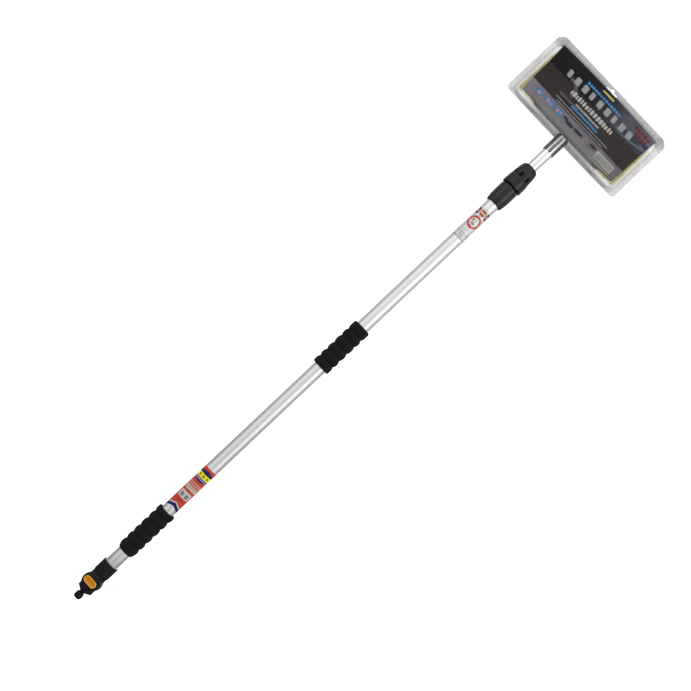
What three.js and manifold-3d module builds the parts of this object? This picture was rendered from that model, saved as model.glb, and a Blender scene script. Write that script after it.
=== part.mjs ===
// Telescopic flow-through wash brush, lying card side up in its stapled clear pack.
// Millimetres. +X runs along the pole from the hose end to the head, +Z is up.
// Inside the pole group x = 0 is the hose tip and z = 0 is the pole's axis.

import * as THREE from 'three';
import { ConvexGeometry } from 'three/addons/geometries/ConvexGeometry.js';
import { mergeVertices } from 'three/addons/utils/BufferGeometryUtils.js';
import Module from 'manifold-3d';

const wasm = await Module();
wasm.setup();

// ---------------------------------------------------------------- driving dimensions
const TOTAL_LENGTH = 1425;
const GAP = 0.3;                    // clearance between pieces that touch
const ROUND = 24;                   // sides of a round piece
const ROUND_FINE = 32;              // sides of the tubes and of the lock's nut
const ROUND_SMALL = 16;             // sides of a small round piece
const RING_SIDES = 20;              // sides of an O-ring

const OUTER_R = 14;                 // outer tube, 28 mm diameter
const OUTER_BORE = 12.7;
const OUTER_START = 66.6;
const OUTER_END = 1128;
const INNER_R = 11.5;               // inner tube, 23 mm diameter
const INNER_BORE = 10.2;
const INNER_START = 152;
const INNER_END = 1284;

const VALVE_X = 44;                 // centre of the ball valve
const VALVE_R = 16.3;
const VALVE_ROLL = -9 * Math.PI / 180;
const VALVE_START = 23.1;
const VALVE_END = 64.6;
const VALVE_NOTCH = 62.6;           // groove round the valve's far end
const BOSS_R = 19;
const BOSS_BOTTOM = -8;
const BOSS_TOP = 16.8;
const CHAMBER_R = 9.9;
const CHAMBER_END = 55;
const BALL_R = 9;
const BALL_BORE_R = 4.2;
const WATERWAY_R = 5;
const STEM_R = 4;
const STEM_RING_Z = 12.7;
const STEM_RING_R = 4.95;
const SEAT_R = 9.5;
const SPIGOT_R = 12.3;
const SPIGOT_END = 92;
const SPIGOT_GROOVE = 80;           // middle of the spigot's O-ring groove
const SPIGOT_GROOVE_R = 11;
const NOSE_R = 8;                   // hose nose, with its O-ring groove and latch neck
const NOSE_GROOVE = 8.1;
const NOSE_GROOVE_R = 6.6;
const NOSE_NECK_R = 4.9;
const NOSE_BORE = 3;
const NOSE_PLUG_END = 33;
const KNOB_LENGTH = 28.4;
const KNOB_WIDTH = 13.6;
const KNOB_HEIGHT = 5;

const SLEEVE_START = 65;
const SLEEVE_END = 92;
const SLEEVE_R = 17.2;
const BUSH_R = 15.5;

const GRIP_PEAK_R = 19.7;
const GRIP_VALLEY_R = 16.4;
// ends of each grip and the grooves between its bumps
const LOWER_GRIP = [126.6, 147.7, 165.2, 183.5, 203, 221.7, 237];
const MID_GRIP = [636, 652.7, 670.4, 689.6, 709.6, 726.7, 747.5];
const LOWER_LABEL = [244, 351];
const UPPER_LABEL = [998, 1077];
const LABEL_THICKNESS = 0.4;

const COLLAR_START = 1095;
const COLLAR_END = 1142.5;
const COLLAR_R = 19.8;
const NUT_RING_END = 1166;
const NUT_END = 1197.3;
const NUT_RING_R = 22.3;
const NUT_GRIP_R = 20.8;
const NUT_FLUTES = 7;
const FLUTE_R = 4;
const FLUTE_LENGTH = 20;
const FLUTE_X = 1180;
const FLUTE_AXIS_R = 21.4;
const FLUTE_SLOPE = 0.09;
const FLUTE_TURN = 75 * Math.PI / 180;
const THREAD_END = 1161;            // collar thread inside the nut
const THREAD_R = 15.2;
const THREAD_BORE = 13.4;
const COLLAR_SEAL_X = 1135;
const COLLAR_SEAL_R = 14;
const COLLET_START = 1143;
const COLLET_END = 1181;
const COLLET_R = 13.1;
const RUN_CLEARANCE = 0.5;          // round the inner tube where it slides

const PISTON_START = 120;
const PISTON_END = 176;
const PISTON_R = 12.2;
const PISTON_GROOVE_R = 10.4;
const PISTON_RINGS = [127, 141];
const HEAD_PLUG_START = 1262;
const HEAD_NOSE_END = 1299;
const HEAD_NOSE_R = 7.2;
const HEAD_GROOVE = 1292.4;
const HEAD_GROOVE_R = 6;

const SHEET = 0.6;                  // thickness of the clear pack sheet
const FLANGE_GAP = 0.2;             // half of the gap between the two flanges
const FLANGE_START = 1272;
const FLANGE_END = TOTAL_LENGTH;
const FLANGE_HALF = 150;
const NEAR_CORNER_R = 8;
const FAR_CORNER_R = 18;
const NECK_START = 1241.6;
const NECK_END = 1292;
const NECK_R = 13.4;
const DOME_DEPTH = 61;              // back dome, below the pole's axis
const DOME_BASE = { near: 1280, far: 1409, half: 139, nearR: 10, farR: 18 };
const DOME_DRAFT = 8;               // how far the back walls lean in
const DOME_FILLET = 7;              // height of the slope round the back floor
const ROOF_HALF = [134, 132.5, 132, 132];
const ROOF_SHOULDER = 4;
const ROOF_LIFT = 2.2;              // roof of the front dome above the card
const SLOT_X = 1414.8;              // hang slot
const SLOT_WIDTH = 5;
const SLOT_LENGTH = 28;
const SLOT_HOLE_X = 1416.8;
const SLOT_HOLE_R = 3.8;

// side outline of the card: near edge, two folds, far edge
const CARD_FOLDS = [
  { x: 1288, z: 13, half: 123.7 },
  { x: 1315, z: 26, half: 125.2 },
  { x: 1357, z: 34, half: 125.4 },
  { x: 1397.2, z: 38, half: 128 },
];
const CARD_THICKNESS = 0.6;
const CARD_BOW = 2.5;               // how far the middle of the far edge stands out

const BLOCK_X = 1318;
const BLOCK_TILT = -18 * Math.PI / 180;
const BLOCK_HALF_WIDTH = 30.5;
const BLOCK_HALF_LENGTH = 92;
const BLOCK_TOP = 8;
const BLOCK_BOTTOM = -6;
const PLATE_BOTTOM = -9;
const BLOCK_WALL = 5;
const BLOCK_ROOF = 3;               // inside height of the block's water chamber
const SOCKET_START = 1287.4;
const SOCKET_END = 1312;
const SOCKET_R = 11.2;
const WATER_HOLES = 8;
const WATER_HOLE_PITCH = 20;
const BRISTLE_LEVELS = [
  { near: 1298.5, far: 1395, half: 132, z: -26 },
  { near: 1302, far: 1390, half: 127.5, z: -56 },
];

// ---------------------------------------------------------------- materials
const COLOURS = {
  blackPlastic: { color: 0x211f1f, roughness: 0.5, metalness: 0 },
  greyPlastic: { color: 0x373538, roughness: 0.55, metalness: 0 },
  foam: { color: 0x1c191a, roughness: 0.95, metalness: 0 },
  orange: { color: 0xc07a1e, roughness: 0.45, metalness: 0 },
  cream: { color: 0xd8d4bf, roughness: 0.6, metalness: 0 },
  rubber: { color: 0x141414, roughness: 0.8, metalness: 0 },
  aluminium: { color: 0xc9cbcc, roughness: 0.32, metalness: 1 },
  brass: { color: 0xb08a3c, roughness: 0.3, metalness: 1 },
  nylon: { color: 0xe6e4dc, roughness: 0.5, metalness: 0 },
  label: { color: 0xb8322c, roughness: 0.4, metalness: 0 },
  paleLabel: { color: 0xe2dfdb, roughness: 0.4, metalness: 0 },
  bristle: { color: 0xe0d24e, roughness: 0.7, metalness: 0 },
  clearSheet: { color: 0xdfe2e4, roughness: 0.12, metalness: 0 },
  card: { color: 0x26221f, roughness: 0.35, metalness: 0 },
  steel: { color: 0x9a9c9e, roughness: 0.3, metalness: 1 },
};

function piece(name, geometry, colour) {
  const mesh = new THREE.Mesh(geometry, new THREE.MeshStandardMaterial(COLOURS[colour]));
  mesh.name = name;
  return mesh;
}

// ---------------------------------------------------------------- shape helpers
function signedVolume(geometry) {
  const place = geometry.attributes.position;
  const index = geometry.index;
  const corner = [new THREE.Vector3(), new THREE.Vector3(), new THREE.Vector3()];
  let total = 0;
  for (let i = 0; i < index.count; i += 3) {
    for (let k = 0; k < 3; k += 1) {
      corner[k].fromBufferAttribute(place, index.getX(i + k));
    }
    total += corner[0].dot(corner[1].clone().cross(corner[2])) / 6;
  }
  return total;
}

// One closed mesh with shared vertices and its faces pointing out.
function closed(geometry) {
  const bare = geometry.clone();
  bare.deleteAttribute('normal');
  bare.deleteAttribute('uv');
  const merged = mergeVertices(bare, 1e-4);
  if (signedVolume(merged) < 0) {
    const order = Array.from(merged.index.array);
    for (let i = 0; i < order.length; i += 3) {
      [order[i], order[i + 1]] = [order[i + 1], order[i]];
    }
    merged.setIndex(order);
  }
  return merged;
}

function toSolid(geometry) {
  const shape = closed(geometry);
  return new wasm.Manifold(new wasm.Mesh({
    numProp: 3,
    vertProperties: new Float32Array(shape.attributes.position.array),
    triVerts: new Uint32Array(shape.index.array),
  }));
}

function toGeometry(solid) {
  const mesh = solid.getMesh();
  const geometry = new THREE.BufferGeometry();
  geometry.setAttribute('position', new THREE.BufferAttribute(mesh.vertProperties, 3));
  geometry.setIndex(new THREE.BufferAttribute(mesh.triVerts, 1));
  return geometry;
}

// Joins the first list of geometries and cuts the second list out of them.
function carve(joined, cuts = []) {
  let solid = toSolid(joined[0]);
  for (const extra of joined.slice(1)) {
    solid = solid.add(toSolid(extra));
  }
  for (const cut of cuts) {
    solid = solid.subtract(toSolid(cut));
  }
  return toGeometry(solid);
}

// A body of revolution about X. The profile is a closed loop of [x, radius].
function turned(profile, sides = ROUND) {
  const points = profile.map(([x, r]) => new THREE.Vector2(Math.max(r, 0), x));
  points.push(points[0].clone());
  const geometry = new THREE.LatheGeometry(points, sides);
  geometry.rotateZ(-Math.PI / 2);
  return closed(geometry);
}

// A solid rod about X: its profile ends on the axis.
function rod(x0, x1, r, sides = ROUND) {
  return turned([[x0, 0], [x0, r], [x1, r], [x1, 0]], sides);
}

function tube(x0, x1, bore, r, sides = ROUND) {
  return turned([[x0, bore], [x0, r], [x1, r], [x1, bore]], sides);
}

// A rod along Z, centred on x, y.
function post(x, y, z0, z1, r, sides = ROUND_SMALL) {
  const geometry = new THREE.CylinderGeometry(r, r, z1 - z0, sides);
  geometry.rotateX(Math.PI / 2);
  geometry.translate(x, y, (z0 + z1) / 2);
  return geometry;
}

function block(x0, x1, y0, y1, z0, z1) {
  const geometry = new THREE.BoxGeometry(x1 - x0, y1 - y0, z1 - z0);
  geometry.translate((x0 + x1) / 2, (y0 + y1) / 2, (z0 + z1) / 2);
  return geometry;
}

function oRing(x, bore, thickness) {
  const geometry = new THREE.TorusGeometry(bore + thickness / 2, thickness / 2, 6, RING_SIDES);
  geometry.rotateY(Math.PI / 2);
  geometry.translate(x, 0, 0);
  return closed(geometry);
}

// Outline in plan, counter-clockwise, of a rectangle with rounded near and far corners.
function roundedPlan(near, far, half, nearR, farR, steps = 4) {
  const quarter = Math.PI / 2;
  const corners = [
    [far - farR, farR - half, farR, -quarter],
    [far - farR, half - farR, farR, 0],
    [near + nearR, half - nearR, nearR, quarter],
    [near + nearR, nearR - half, nearR, 2 * quarter],
  ];
  const plan = [];
  for (const [x, y, r, start] of corners) {
    for (let i = 0; i <= steps; i += 1) {
      const angle = start + quarter * (i / steps);
      plan.push([x + r * Math.cos(angle), y + r * Math.sin(angle)]);
    }
  }
  return plan;
}

// A flat plate of that outline between two heights.
function plate(plan, z0, z1) {
  const shape = new THREE.Shape(plan.map(([x, y]) => new THREE.Vector2(x, y)));
  const geometry = new THREE.ExtrudeGeometry(shape, { depth: z1 - z0, bevelEnabled: false });
  geometry.translate(0, 0, z0);
  return geometry;
}

// The convex body that holds every given outline, each at its own height.
function hull(outlines) {
  const points = [];
  for (const { plan, z } of outlines) {
    for (const [x, y] of plan) {
      points.push(new THREE.Vector3(x, y, typeof z === 'function' ? z(x) : z));
    }
  }
  return new ConvexGeometry(points);
}

// ---------------------------------------------------------------- valve at the hose end
function hoseNipple() {
  const [grooveStart, grooveEnd] = [NOSE_GROOVE - 1.5, NOSE_GROOVE + 1.5];
  const coneEnd = VALVE_START - GAP;
  const plugR = CHAMBER_R - 0.4;
  return turned([
    [0, NOSE_BORE], [0, NOSE_R - 3], [0.9, NOSE_R - 1.5], [2.6, NOSE_R - 0.4], [4.6, NOSE_R],
    [grooveStart, NOSE_R],
    [grooveStart, NOSE_GROOVE_R], [grooveEnd, NOSE_GROOVE_R], [grooveEnd, NOSE_R], [12.2, NOSE_R],
    [14.2, NOSE_R - 1], [14.8, NOSE_NECK_R], [15.8, NOSE_NECK_R], [coneEnd, VALVE_R],
    [coneEnd, plugR], [NOSE_PLUG_END, plugR], [NOSE_PLUG_END, NOSE_BORE],
  ]);
}

function valveBody() {
  const shell = turned([
    [VALVE_START, 0], [VALVE_START, VALVE_R], [VALVE_NOTCH - 1, VALVE_R],
    [VALVE_NOTCH, VALVE_R - 0.8], [VALVE_NOTCH + 0.8, VALVE_R - 0.8],
    [VALVE_NOTCH + 1.4, VALVE_R - 0.2], [VALVE_END, VALVE_R - 0.4], [VALVE_END, SPIGOT_R],
    [SPIGOT_GROOVE - 1.6, SPIGOT_R], [SPIGOT_GROOVE - 1.6, SPIGOT_GROOVE_R],
    [SPIGOT_GROOVE + 1.6, SPIGOT_GROOVE_R], [SPIGOT_GROOVE + 1.6, SPIGOT_R],
    [SPIGOT_END - 1, SPIGOT_R], [SPIGOT_END, SPIGOT_R - 1], [SPIGOT_END, 0],
  ]);
  const boss = post(VALVE_X, 0, BOSS_BOTTOM, BOSS_TOP, BOSS_R, ROUND_FINE);
  const chamber = rod(VALVE_START - 1, CHAMBER_END, CHAMBER_R, ROUND_SMALL);
  const waterway = rod(CHAMBER_END - 1, SPIGOT_END + 1, WATERWAY_R, ROUND_SMALL);
  const stemHole = post(VALVE_X, 0, BALL_R - 1, BOSS_TOP + 1, STEM_R + 0.35);
  const ringGroove = post(VALVE_X, 0, STEM_RING_Z - 1, STEM_RING_Z + 1, STEM_RING_R + 0.85);
  return carve([shell, boss], [chamber, waterway, stemHole, ringGroove]);
}

// A ring whose face follows the ball; side is +1 beyond the ball and -1 before it.
function ballSeat(side) {
  const bore = WATERWAY_R + 0.2;
  const ballFace = [[7.7, bore], [6.7, 6.4], [5.2, 7.6], [3.6, 8.4]];
  const outline = [...ballFace, [3.6, SEAT_R], [10.7, SEAT_R], [10.7, bore]];
  return turned(outline.map(([x, r]) => [VALVE_X + side * x, r]), ROUND_SMALL);
}

function valveBall() {
  const ball = new THREE.SphereGeometry(BALL_R, 16, 12);
  const bore = new THREE.CylinderGeometry(BALL_BORE_R, BALL_BORE_R, 3 * BALL_R, ROUND_SMALL);
  const slot = block(-4, 4, -1.4, 1.4, 6.2, BALL_R + 1);
  const geometry = carve([ball], [bore, slot]);
  geometry.translate(VALVE_X, 0, 0);
  return geometry;
}

// Long oval finger knob on its stem, lying across the pole when the valve is shut.
function valveKnob() {
  const base = BOSS_TOP + GAP;
  const endR = KNOB_WIDTH / 2;
  const half = KNOB_LENGTH / 2 - endR;
  const outline = new THREE.Shape();
  outline.absarc(0, half, endR - 1, 0, Math.PI, false);
  outline.absarc(0, -half, endR - 1, Math.PI, 2 * Math.PI, false);
  const oval = new THREE.ExtrudeGeometry(outline, {
    depth: KNOB_HEIGHT - 2, bevelThickness: 1, bevelSize: 1, bevelSegments: 1, curveSegments: 8,
  });
  oval.translate(0, 0, base + 1);
  const dish = new THREE.SphereGeometry(1, ROUND_SMALL, 8);
  dish.scale(4.8, 11.6, 2);
  dish.translate(0, 0, base + KNOB_HEIGHT);
  const stem = post(0, 0, 10, base + 1.5, STEM_R);
  const tang = block(-3.2, 3.2, -1.1, 1.1, 6.6, 10.4);
  const geometry = carve([oval, stem, tang], [dish]);
  geometry.translate(VALVE_X, 0, 0);
  return geometry;
}

function stemORing() {
  const geometry = new THREE.TorusGeometry(STEM_RING_R, 0.6, 6, ROUND_SMALL);
  geometry.translate(VALVE_X, 0, STEM_RING_Z);
  return closed(geometry);
}

function valve() {
  const group = new THREE.Group();
  group.rotation.x = VALVE_ROLL;
  group.add(
    piece('hose_nipple', hoseNipple(), 'blackPlastic'),
    piece('nipple_o_ring', oRing(NOSE_GROOVE, NOSE_GROOVE_R + 0.35, 1.6), 'rubber'),
    piece('valve_body', valveBody(), 'blackPlastic'),
    piece('ball_seat_near', ballSeat(-1), 'nylon'),
    piece('ball_seat_far', ballSeat(1), 'nylon'),
    piece('valve_ball', valveBall(), 'brass'),
    piece('valve_knob', valveKnob(), 'orange'),
    piece('stem_o_ring', stemORing(), 'rubber'),
    piece('spigot_o_ring', oRing(SPIGOT_GROOVE, SPIGOT_GROOVE_R + GAP, 1.1), 'rubber'),
  );
  return group;
}

// ---------------------------------------------------------------- outer tube and its sleeves
function endSleeve() {
  return turned([
    [SLEEVE_START, SPIGOT_R + GAP], [SLEEVE_START, SLEEVE_R - 0.8], [SLEEVE_START + 0.8, SLEEVE_R],
    [SLEEVE_END - 0.8, SLEEVE_R], [SLEEVE_END, SLEEVE_R - 0.8], [SLEEVE_END, OUTER_R + GAP],
    [OUTER_START - GAP, OUTER_R + GAP], [OUTER_START - GAP, SPIGOT_R + GAP],
  ]);
}

function sleeveBush() {
  const start = SLEEVE_END + GAP;
  return turned([
    [start, OUTER_R + GAP], [start, BUSH_R], [start + 0.6, BUSH_R],
    [start + 2.4, OUTER_R + 0.9], [start + 2.4, OUTER_R + GAP],
  ]);
}

// A foam sleeve with rounded bumps between ring grooves.
function foamGrip(grooves, bluntStart) {
  const start = grooves[0];
  const end = grooves[grooves.length - 1];
  const stepsPerBump = 3;
  const profile = [[start, OUTER_R + GAP]];
  if (bluntStart) {
    profile.push([start, GRIP_VALLEY_R]);
  } else {
    profile.push([start, OUTER_R + 1.2]);
  }
  for (let bump = 1; bump < grooves.length; bump += 1) {
    const from = grooves[bump - 1];
    for (let step = 1; step <= stepsPerBump; step += 1) {
      const along = step / stepsPerBump;
      const rise = Math.sin(Math.PI * along) ** 0.7;
      const x = from + (grooves[bump] - from) * along;
      profile.push([x, GRIP_VALLEY_R + (GRIP_PEAK_R - GRIP_VALLEY_R) * rise]);
    }
  }
  profile.push([end, OUTER_R + GAP]);
  return turned(profile, ROUND);
}

function labelSleeve([start, end]) {
  return tube(start, end, OUTER_R + GAP, OUTER_R + GAP + LABEL_THICKNESS);
}

// ---------------------------------------------------------------- twist lock
function collarBody() {
  const bore = INNER_R + RUN_CLEARANCE;
  const shoulder = COLLAR_END - 0.8;
  const [grooveStart, grooveEnd] = [COLLAR_SEAL_X - 2, COLLAR_SEAL_X + 2];
  return turned([
    [COLLAR_START, OUTER_R + GAP], [COLLAR_START, COLLAR_R - 2.9], [COLLAR_START + 2, COLLAR_R - 2],
    [COLLAR_START + 10, COLLAR_R - 0.6], [COLLAR_START + 18, COLLAR_R], [COLLAR_END - 9, COLLAR_R],
    [shoulder, COLLAR_R - 0.7], [shoulder, THREAD_R], [THREAD_END, THREAD_R],
    [THREAD_END, THREAD_BORE], [COLLET_START - 1, THREAD_BORE], [COLLET_START - 1, bore],
    [grooveEnd, bore], [grooveEnd, COLLAR_SEAL_R], [grooveStart, COLLAR_SEAL_R], [grooveStart, bore],
    [OUTER_END + GAP, bore], [OUTER_END + GAP, OUTER_R + GAP],
  ], ROUND_FINE);
}

function twistNut() {
  const threadRoom = THREAD_R + 0.4;
  const shell = turned([
    [COLLAR_END, threadRoom], [COLLAR_END, NUT_RING_R - 1.4], [COLLAR_END + 1.6, NUT_RING_R],
    [NUT_RING_END - 0.6, NUT_RING_R - 1], [NUT_RING_END, NUT_GRIP_R], [NUT_END - 18, NUT_GRIP_R - 1.4],
    [NUT_END - 9, NUT_GRIP_R - 2.5], [NUT_END - 3, NUT_GRIP_R - 4.2], [NUT_END, 14],
    [NUT_END, INNER_R + 0.6],
    [COLLET_END + 4, INNER_R + 0.6], [COLLET_END - 8, COLLET_R + 1.1], [THREAD_END + 3, threadRoom],
  ], ROUND_FINE);
  const flutes = [];
  for (let i = 0; i < NUT_FLUTES; i += 1) {
    const flute = new THREE.CapsuleGeometry(FLUTE_R, FLUTE_LENGTH, 2, 10);
    flute.rotateZ(-Math.PI / 2 + FLUTE_SLOPE);
    flute.translate(FLUTE_X, FLUTE_AXIS_R, 0);
    flute.rotateX((2 * Math.PI * i) / NUT_FLUTES + FLUTE_TURN);
    flutes.push(flute);
  }
  return carve([shell], flutes);
}

// Split gripping ring that the nut squeezes on to the inner tube.
function collet() {
  const ring = turned([
    [COLLET_START, INNER_R + GAP], [COLLET_START, COLLET_R], [COLLET_END - 10, COLLET_R],
    [COLLET_END, INNER_R + 0.7], [COLLET_END, INNER_R + GAP],
  ]);
  const slit = block(COLLET_START - 5, COLLET_END + 5, -1.2, 1.2, 0, COLLET_R + 5);
  return carve([ring], [slit]);
}

// ---------------------------------------------------------------- inner tube and its ends
function guidePiston() {
  const grooves = PISTON_RINGS.flatMap((x) => [
    [x - 1.6, PISTON_R], [x - 1.6, PISTON_GROOVE_R], [x + 1.6, PISTON_GROOVE_R], [x + 1.6, PISTON_R],
  ]);
  return turned([
    [PISTON_START, WATERWAY_R], [PISTON_START, PISTON_R - 1], [PISTON_START + 1, PISTON_R],
    ...grooves, [INNER_START - GAP, PISTON_R], [INNER_START - GAP, INNER_BORE - GAP],
    [PISTON_END, INNER_BORE - GAP], [PISTON_END, WATERWAY_R],
  ]);
}

// Plug in the head end of the inner tube, with the nose that enters the brush socket.
function headSpigot() {
  const bore = WATERWAY_R - 1;
  const flangeEnd = SOCKET_START - 0.4;
  const [grooveStart, grooveEnd] = [HEAD_GROOVE - 1.2, HEAD_GROOVE + 1.2];
  return turned([
    [HEAD_PLUG_START, bore], [HEAD_PLUG_START, INNER_BORE - GAP], [INNER_END + GAP, INNER_BORE - GAP],
    [INNER_END + GAP, INNER_R - 0.3], [flangeEnd, INNER_R - 0.3], [flangeEnd, HEAD_NOSE_R],
    [grooveStart, HEAD_NOSE_R], [grooveStart, HEAD_GROOVE_R], [grooveEnd, HEAD_GROOVE_R],
    [grooveEnd, HEAD_NOSE_R], [HEAD_NOSE_END - 1, HEAD_NOSE_R], [HEAD_NOSE_END, HEAD_NOSE_R - 1],
    [HEAD_NOSE_END, bore],
  ], ROUND_SMALL);
}

// ---------------------------------------------------------------- brush head
function roundEnded(halfWidth, halfLength, z0, z1, endR = 10) {
  return plate(roundedPlan(-halfWidth, halfWidth, halfLength, endR, endR, 3), z0, z1);
}

// Turns a geometry from the block's own tilted frame into the pole's frame.
function tilt(geometry) {
  const turnedBlock = geometry.clone();
  turnedBlock.rotateY(BLOCK_TILT);
  turnedBlock.translate(BLOCK_X, 0, 0);
  return turnedBlock;
}

function brushBlock() {
  const body = tilt(roundEnded(BLOCK_HALF_WIDTH, BLOCK_HALF_LENGTH, BLOCK_BOTTOM, BLOCK_TOP));
  const innerWidth = BLOCK_HALF_WIDTH - BLOCK_WALL;
  const innerLength = BLOCK_HALF_LENGTH - BLOCK_WALL - 1;
  const cavity = tilt(roundEnded(innerWidth, innerLength, BLOCK_BOTTOM - 1, BLOCK_ROOF, 7));
  const socket = rod(SOCKET_START, SOCKET_END, SOCKET_R, ROUND_SMALL);
  const below = tilt(block(-60, 60, -20, 20, -30, BLOCK_BOTTOM));
  const noseBore = rod(SOCKET_START - 7, HEAD_NOSE_END + 5, HEAD_NOSE_R + 0.4, ROUND_SMALL);
  const collarRoom = rod(SOCKET_START - 7, SOCKET_START - 0.1, INNER_R + 1.5, ROUND_SMALL);
  const port = new THREE.CylinderGeometry(3, 3, 30, 12);
  port.translate(HEAD_NOSE_END + 1.5, 0, 0);
  const shell = carve([body], [cavity]);
  return carve([shell, socket], [below, noseBore, collarRoom, port]);
}

function bristlePlate() {
  const holes = [];
  for (let i = 0; i < WATER_HOLES; i += 1) {
    const y = (i - (WATER_HOLES - 1) / 2) * WATER_HOLE_PITCH;
    holes.push(post(0, y, PLATE_BOTTOM - 1, BLOCK_BOTTOM, 1.5, 8));
  }
  const body = roundEnded(BLOCK_HALF_WIDTH, BLOCK_HALF_LENGTH, PLATE_BOTTOM, BLOCK_BOTTOM - GAP);
  return tilt(carve([body], holes));
}

// The soft mass of the bristles: narrow at the plate, splayed out to the pack's walls.
function bristleField() {
  const lean = Math.tan(-BLOCK_TILT);
  const rootZ = (x) => (x - BLOCK_X) * lean + PLATE_BOTTOM - 1.6;
  const roots = roundedPlan(BLOCK_X - 22, BLOCK_X + 27, BLOCK_HALF_LENGTH - 6, 6, 6, 2);
  const levels = BRISTLE_LEVELS.map(({ near, far, half, z }) => (
    { plan: roundedPlan(near, far, half, 12, 16, 3), z }));
  return hull([{ plan: roots, z: rootZ }, ...levels]);
}

// ---------------------------------------------------------------- pack
const STAPLES = [
  { name: 'staple_left_side', x: 1354, y: 144, along: 'x' },
  { name: 'staple_right_side', x: 1338, y: -145, along: 'x' },
  { name: 'staple_far_left', x: 1415, y: 63, along: 'y' },
  { name: 'staple_far_right', x: 1415, y: -84, along: 'y' },
  { name: 'staple_near_left', x: 1276, y: 82, along: 'y' },
  { name: 'staple_near_right', x: 1276, y: -82, along: 'y' },
];
const STAPLE_WIDTH = 11;
const STAPLE_WIRE = 0.8;

function stapleLegs(staple) {
  const reach = (STAPLE_WIDTH - STAPLE_WIRE) / 2;
  if (staple.along === 'x') {
    return [[staple.x - reach, staple.y], [staple.x + reach, staple.y]];
  }
  return [[staple.x, staple.y - reach], [staple.x, staple.y + reach]];
}

// Wire crown over the front flange, legs through both, ends folded in behind.
function stapleWire(staple) {
  const half = STAPLE_WIDTH / 2;
  const top = FLANGE_GAP + SHEET + GAP + STAPLE_WIRE;
  const inner = half - STAPLE_WIRE;
  const under = top - STAPLE_WIRE;
  const fold = 1;
  const outline = new THREE.Shape([
    [-half, -top], [-half, top], [half, top], [half, -top], [fold, -top], [fold, -under],
    [inner, -under], [inner, under], [-inner, under], [-inner, -under], [-fold, -under],
    [-fold, -top],
  ].map(([u, v]) => new THREE.Vector2(u, v)));
  const wire = new THREE.ExtrudeGeometry(outline, { depth: STAPLE_WIRE, bevelEnabled: false });
  wire.translate(0, 0, -STAPLE_WIRE / 2);
  wire.rotateX(Math.PI / 2);
  if (staple.along === 'y') {
    wire.rotateZ(Math.PI / 2);
  }
  wire.translate(staple.x, staple.y, 0);
  return closed(wire);
}

// Holes through both flanges: the hang slot and one hole for each staple leg.
function flangeHoles() {
  const deep = 3;
  const [halfWidth, halfLength] = [SLOT_WIDTH / 2, SLOT_LENGTH / 2];
  const holes = [
    block(SLOT_X - halfWidth, SLOT_X + halfWidth, -halfLength, halfLength, -deep, deep),
    post(SLOT_HOLE_X, 0, -deep, deep, SLOT_HOLE_R),
  ];
  for (const staple of STAPLES) {
    for (const [x, y] of stapleLegs(staple)) {
      const r = STAPLE_WIRE / 2 + GAP;
      holes.push(block(x - r, x + r, y - r, y + r, -deep, deep));
    }
  }
  return holes;
}

// Front dome over the folded card; inset 0 is its outside, inset SHEET its inside.
function frontDome(inset) {
  const { near, far, half, nearR, farR } = DOME_BASE;
  const base = inset > 0 ? -5 : FLANGE_GAP;
  const foot = roundedPlan(near + inset, far - inset, half - inset, nearR, farR);
  const levels = [{ plan: foot, z: base }, { plan: foot, z: 1 }];
  const shifts = [-2.4, -0.5, 0, 5.5];
  const secondFold = CARD_FOLDS[2];
  const points = [];
  CARD_FOLDS.forEach((fold, i) => {
    const x = fold.x + shifts[i];
    const z = fold.z + ROOF_LIFT - inset;
    const shift = x < secondFold.x ? inset : -inset;
    const width = ROOF_HALF[i] - inset;
    for (const side of [-1, 1]) {
      points.push([x + shift, z, side * width]);
      points.push([x + shift, z - ROOF_SHOULDER, side * (width + 2)]);
    }
  });
  const outlines = points.map(([x, z, y]) => ({ plan: [[x, y]], z }));
  return hull(levels.concat(outlines));
}

function backDome(inset) {
  const { near, far, half, nearR, farR } = DOME_BASE;
  const base = inset > 0 ? 5 : -FLANGE_GAP;
  const floor = inset - DOME_DEPTH;
  const low = DOME_DRAFT + inset;
  const flat = DOME_DRAFT + 6;
  return hull([
    { plan: roundedPlan(near + inset, far - inset, half - inset, nearR, farR), z: base },
    { plan: roundedPlan(near + low, far - low, half - low, nearR + 2, farR), z: floor + DOME_FILLET },
    { plan: roundedPlan(near + flat, far - flat, half - flat, nearR, farR - 2), z: floor },
  ]);
}

function packFlange(z0, z1) {
  return plate(roundedPlan(FLANGE_START, FLANGE_END, FLANGE_HALF, NEAR_CORNER_R, FAR_CORNER_R), z0, z1);
}

// One half of the pack: side is +1 for the front and -1 for the back.
function packHalf(side, dome) {
  const neck = rod(NECK_START, NECK_END, NECK_R);
  const neckBore = rod(NECK_START - 1, NECK_END + 2, NECK_R - SHEET);
  const [near, far, wide] = [NECK_START - 5, FLANGE_END + 5, FLANGE_HALF + 5];
  const faces = [side * FLANGE_GAP, side * (FLANGE_GAP + SHEET)].sort((a, b) => a - b);
  const otherHalf = side > 0
    ? block(near, far, -wide, wide, -DOME_DEPTH - 5, FLANGE_GAP)
    : block(near, far, -wide, wide, -FLANGE_GAP, DOME_DEPTH);
  const joined = [packFlange(...faces), dome(0), neck];
  return carve(joined, [otherHalf, dome(SHEET), neckBore, ...flangeHoles()]);
}

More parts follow.
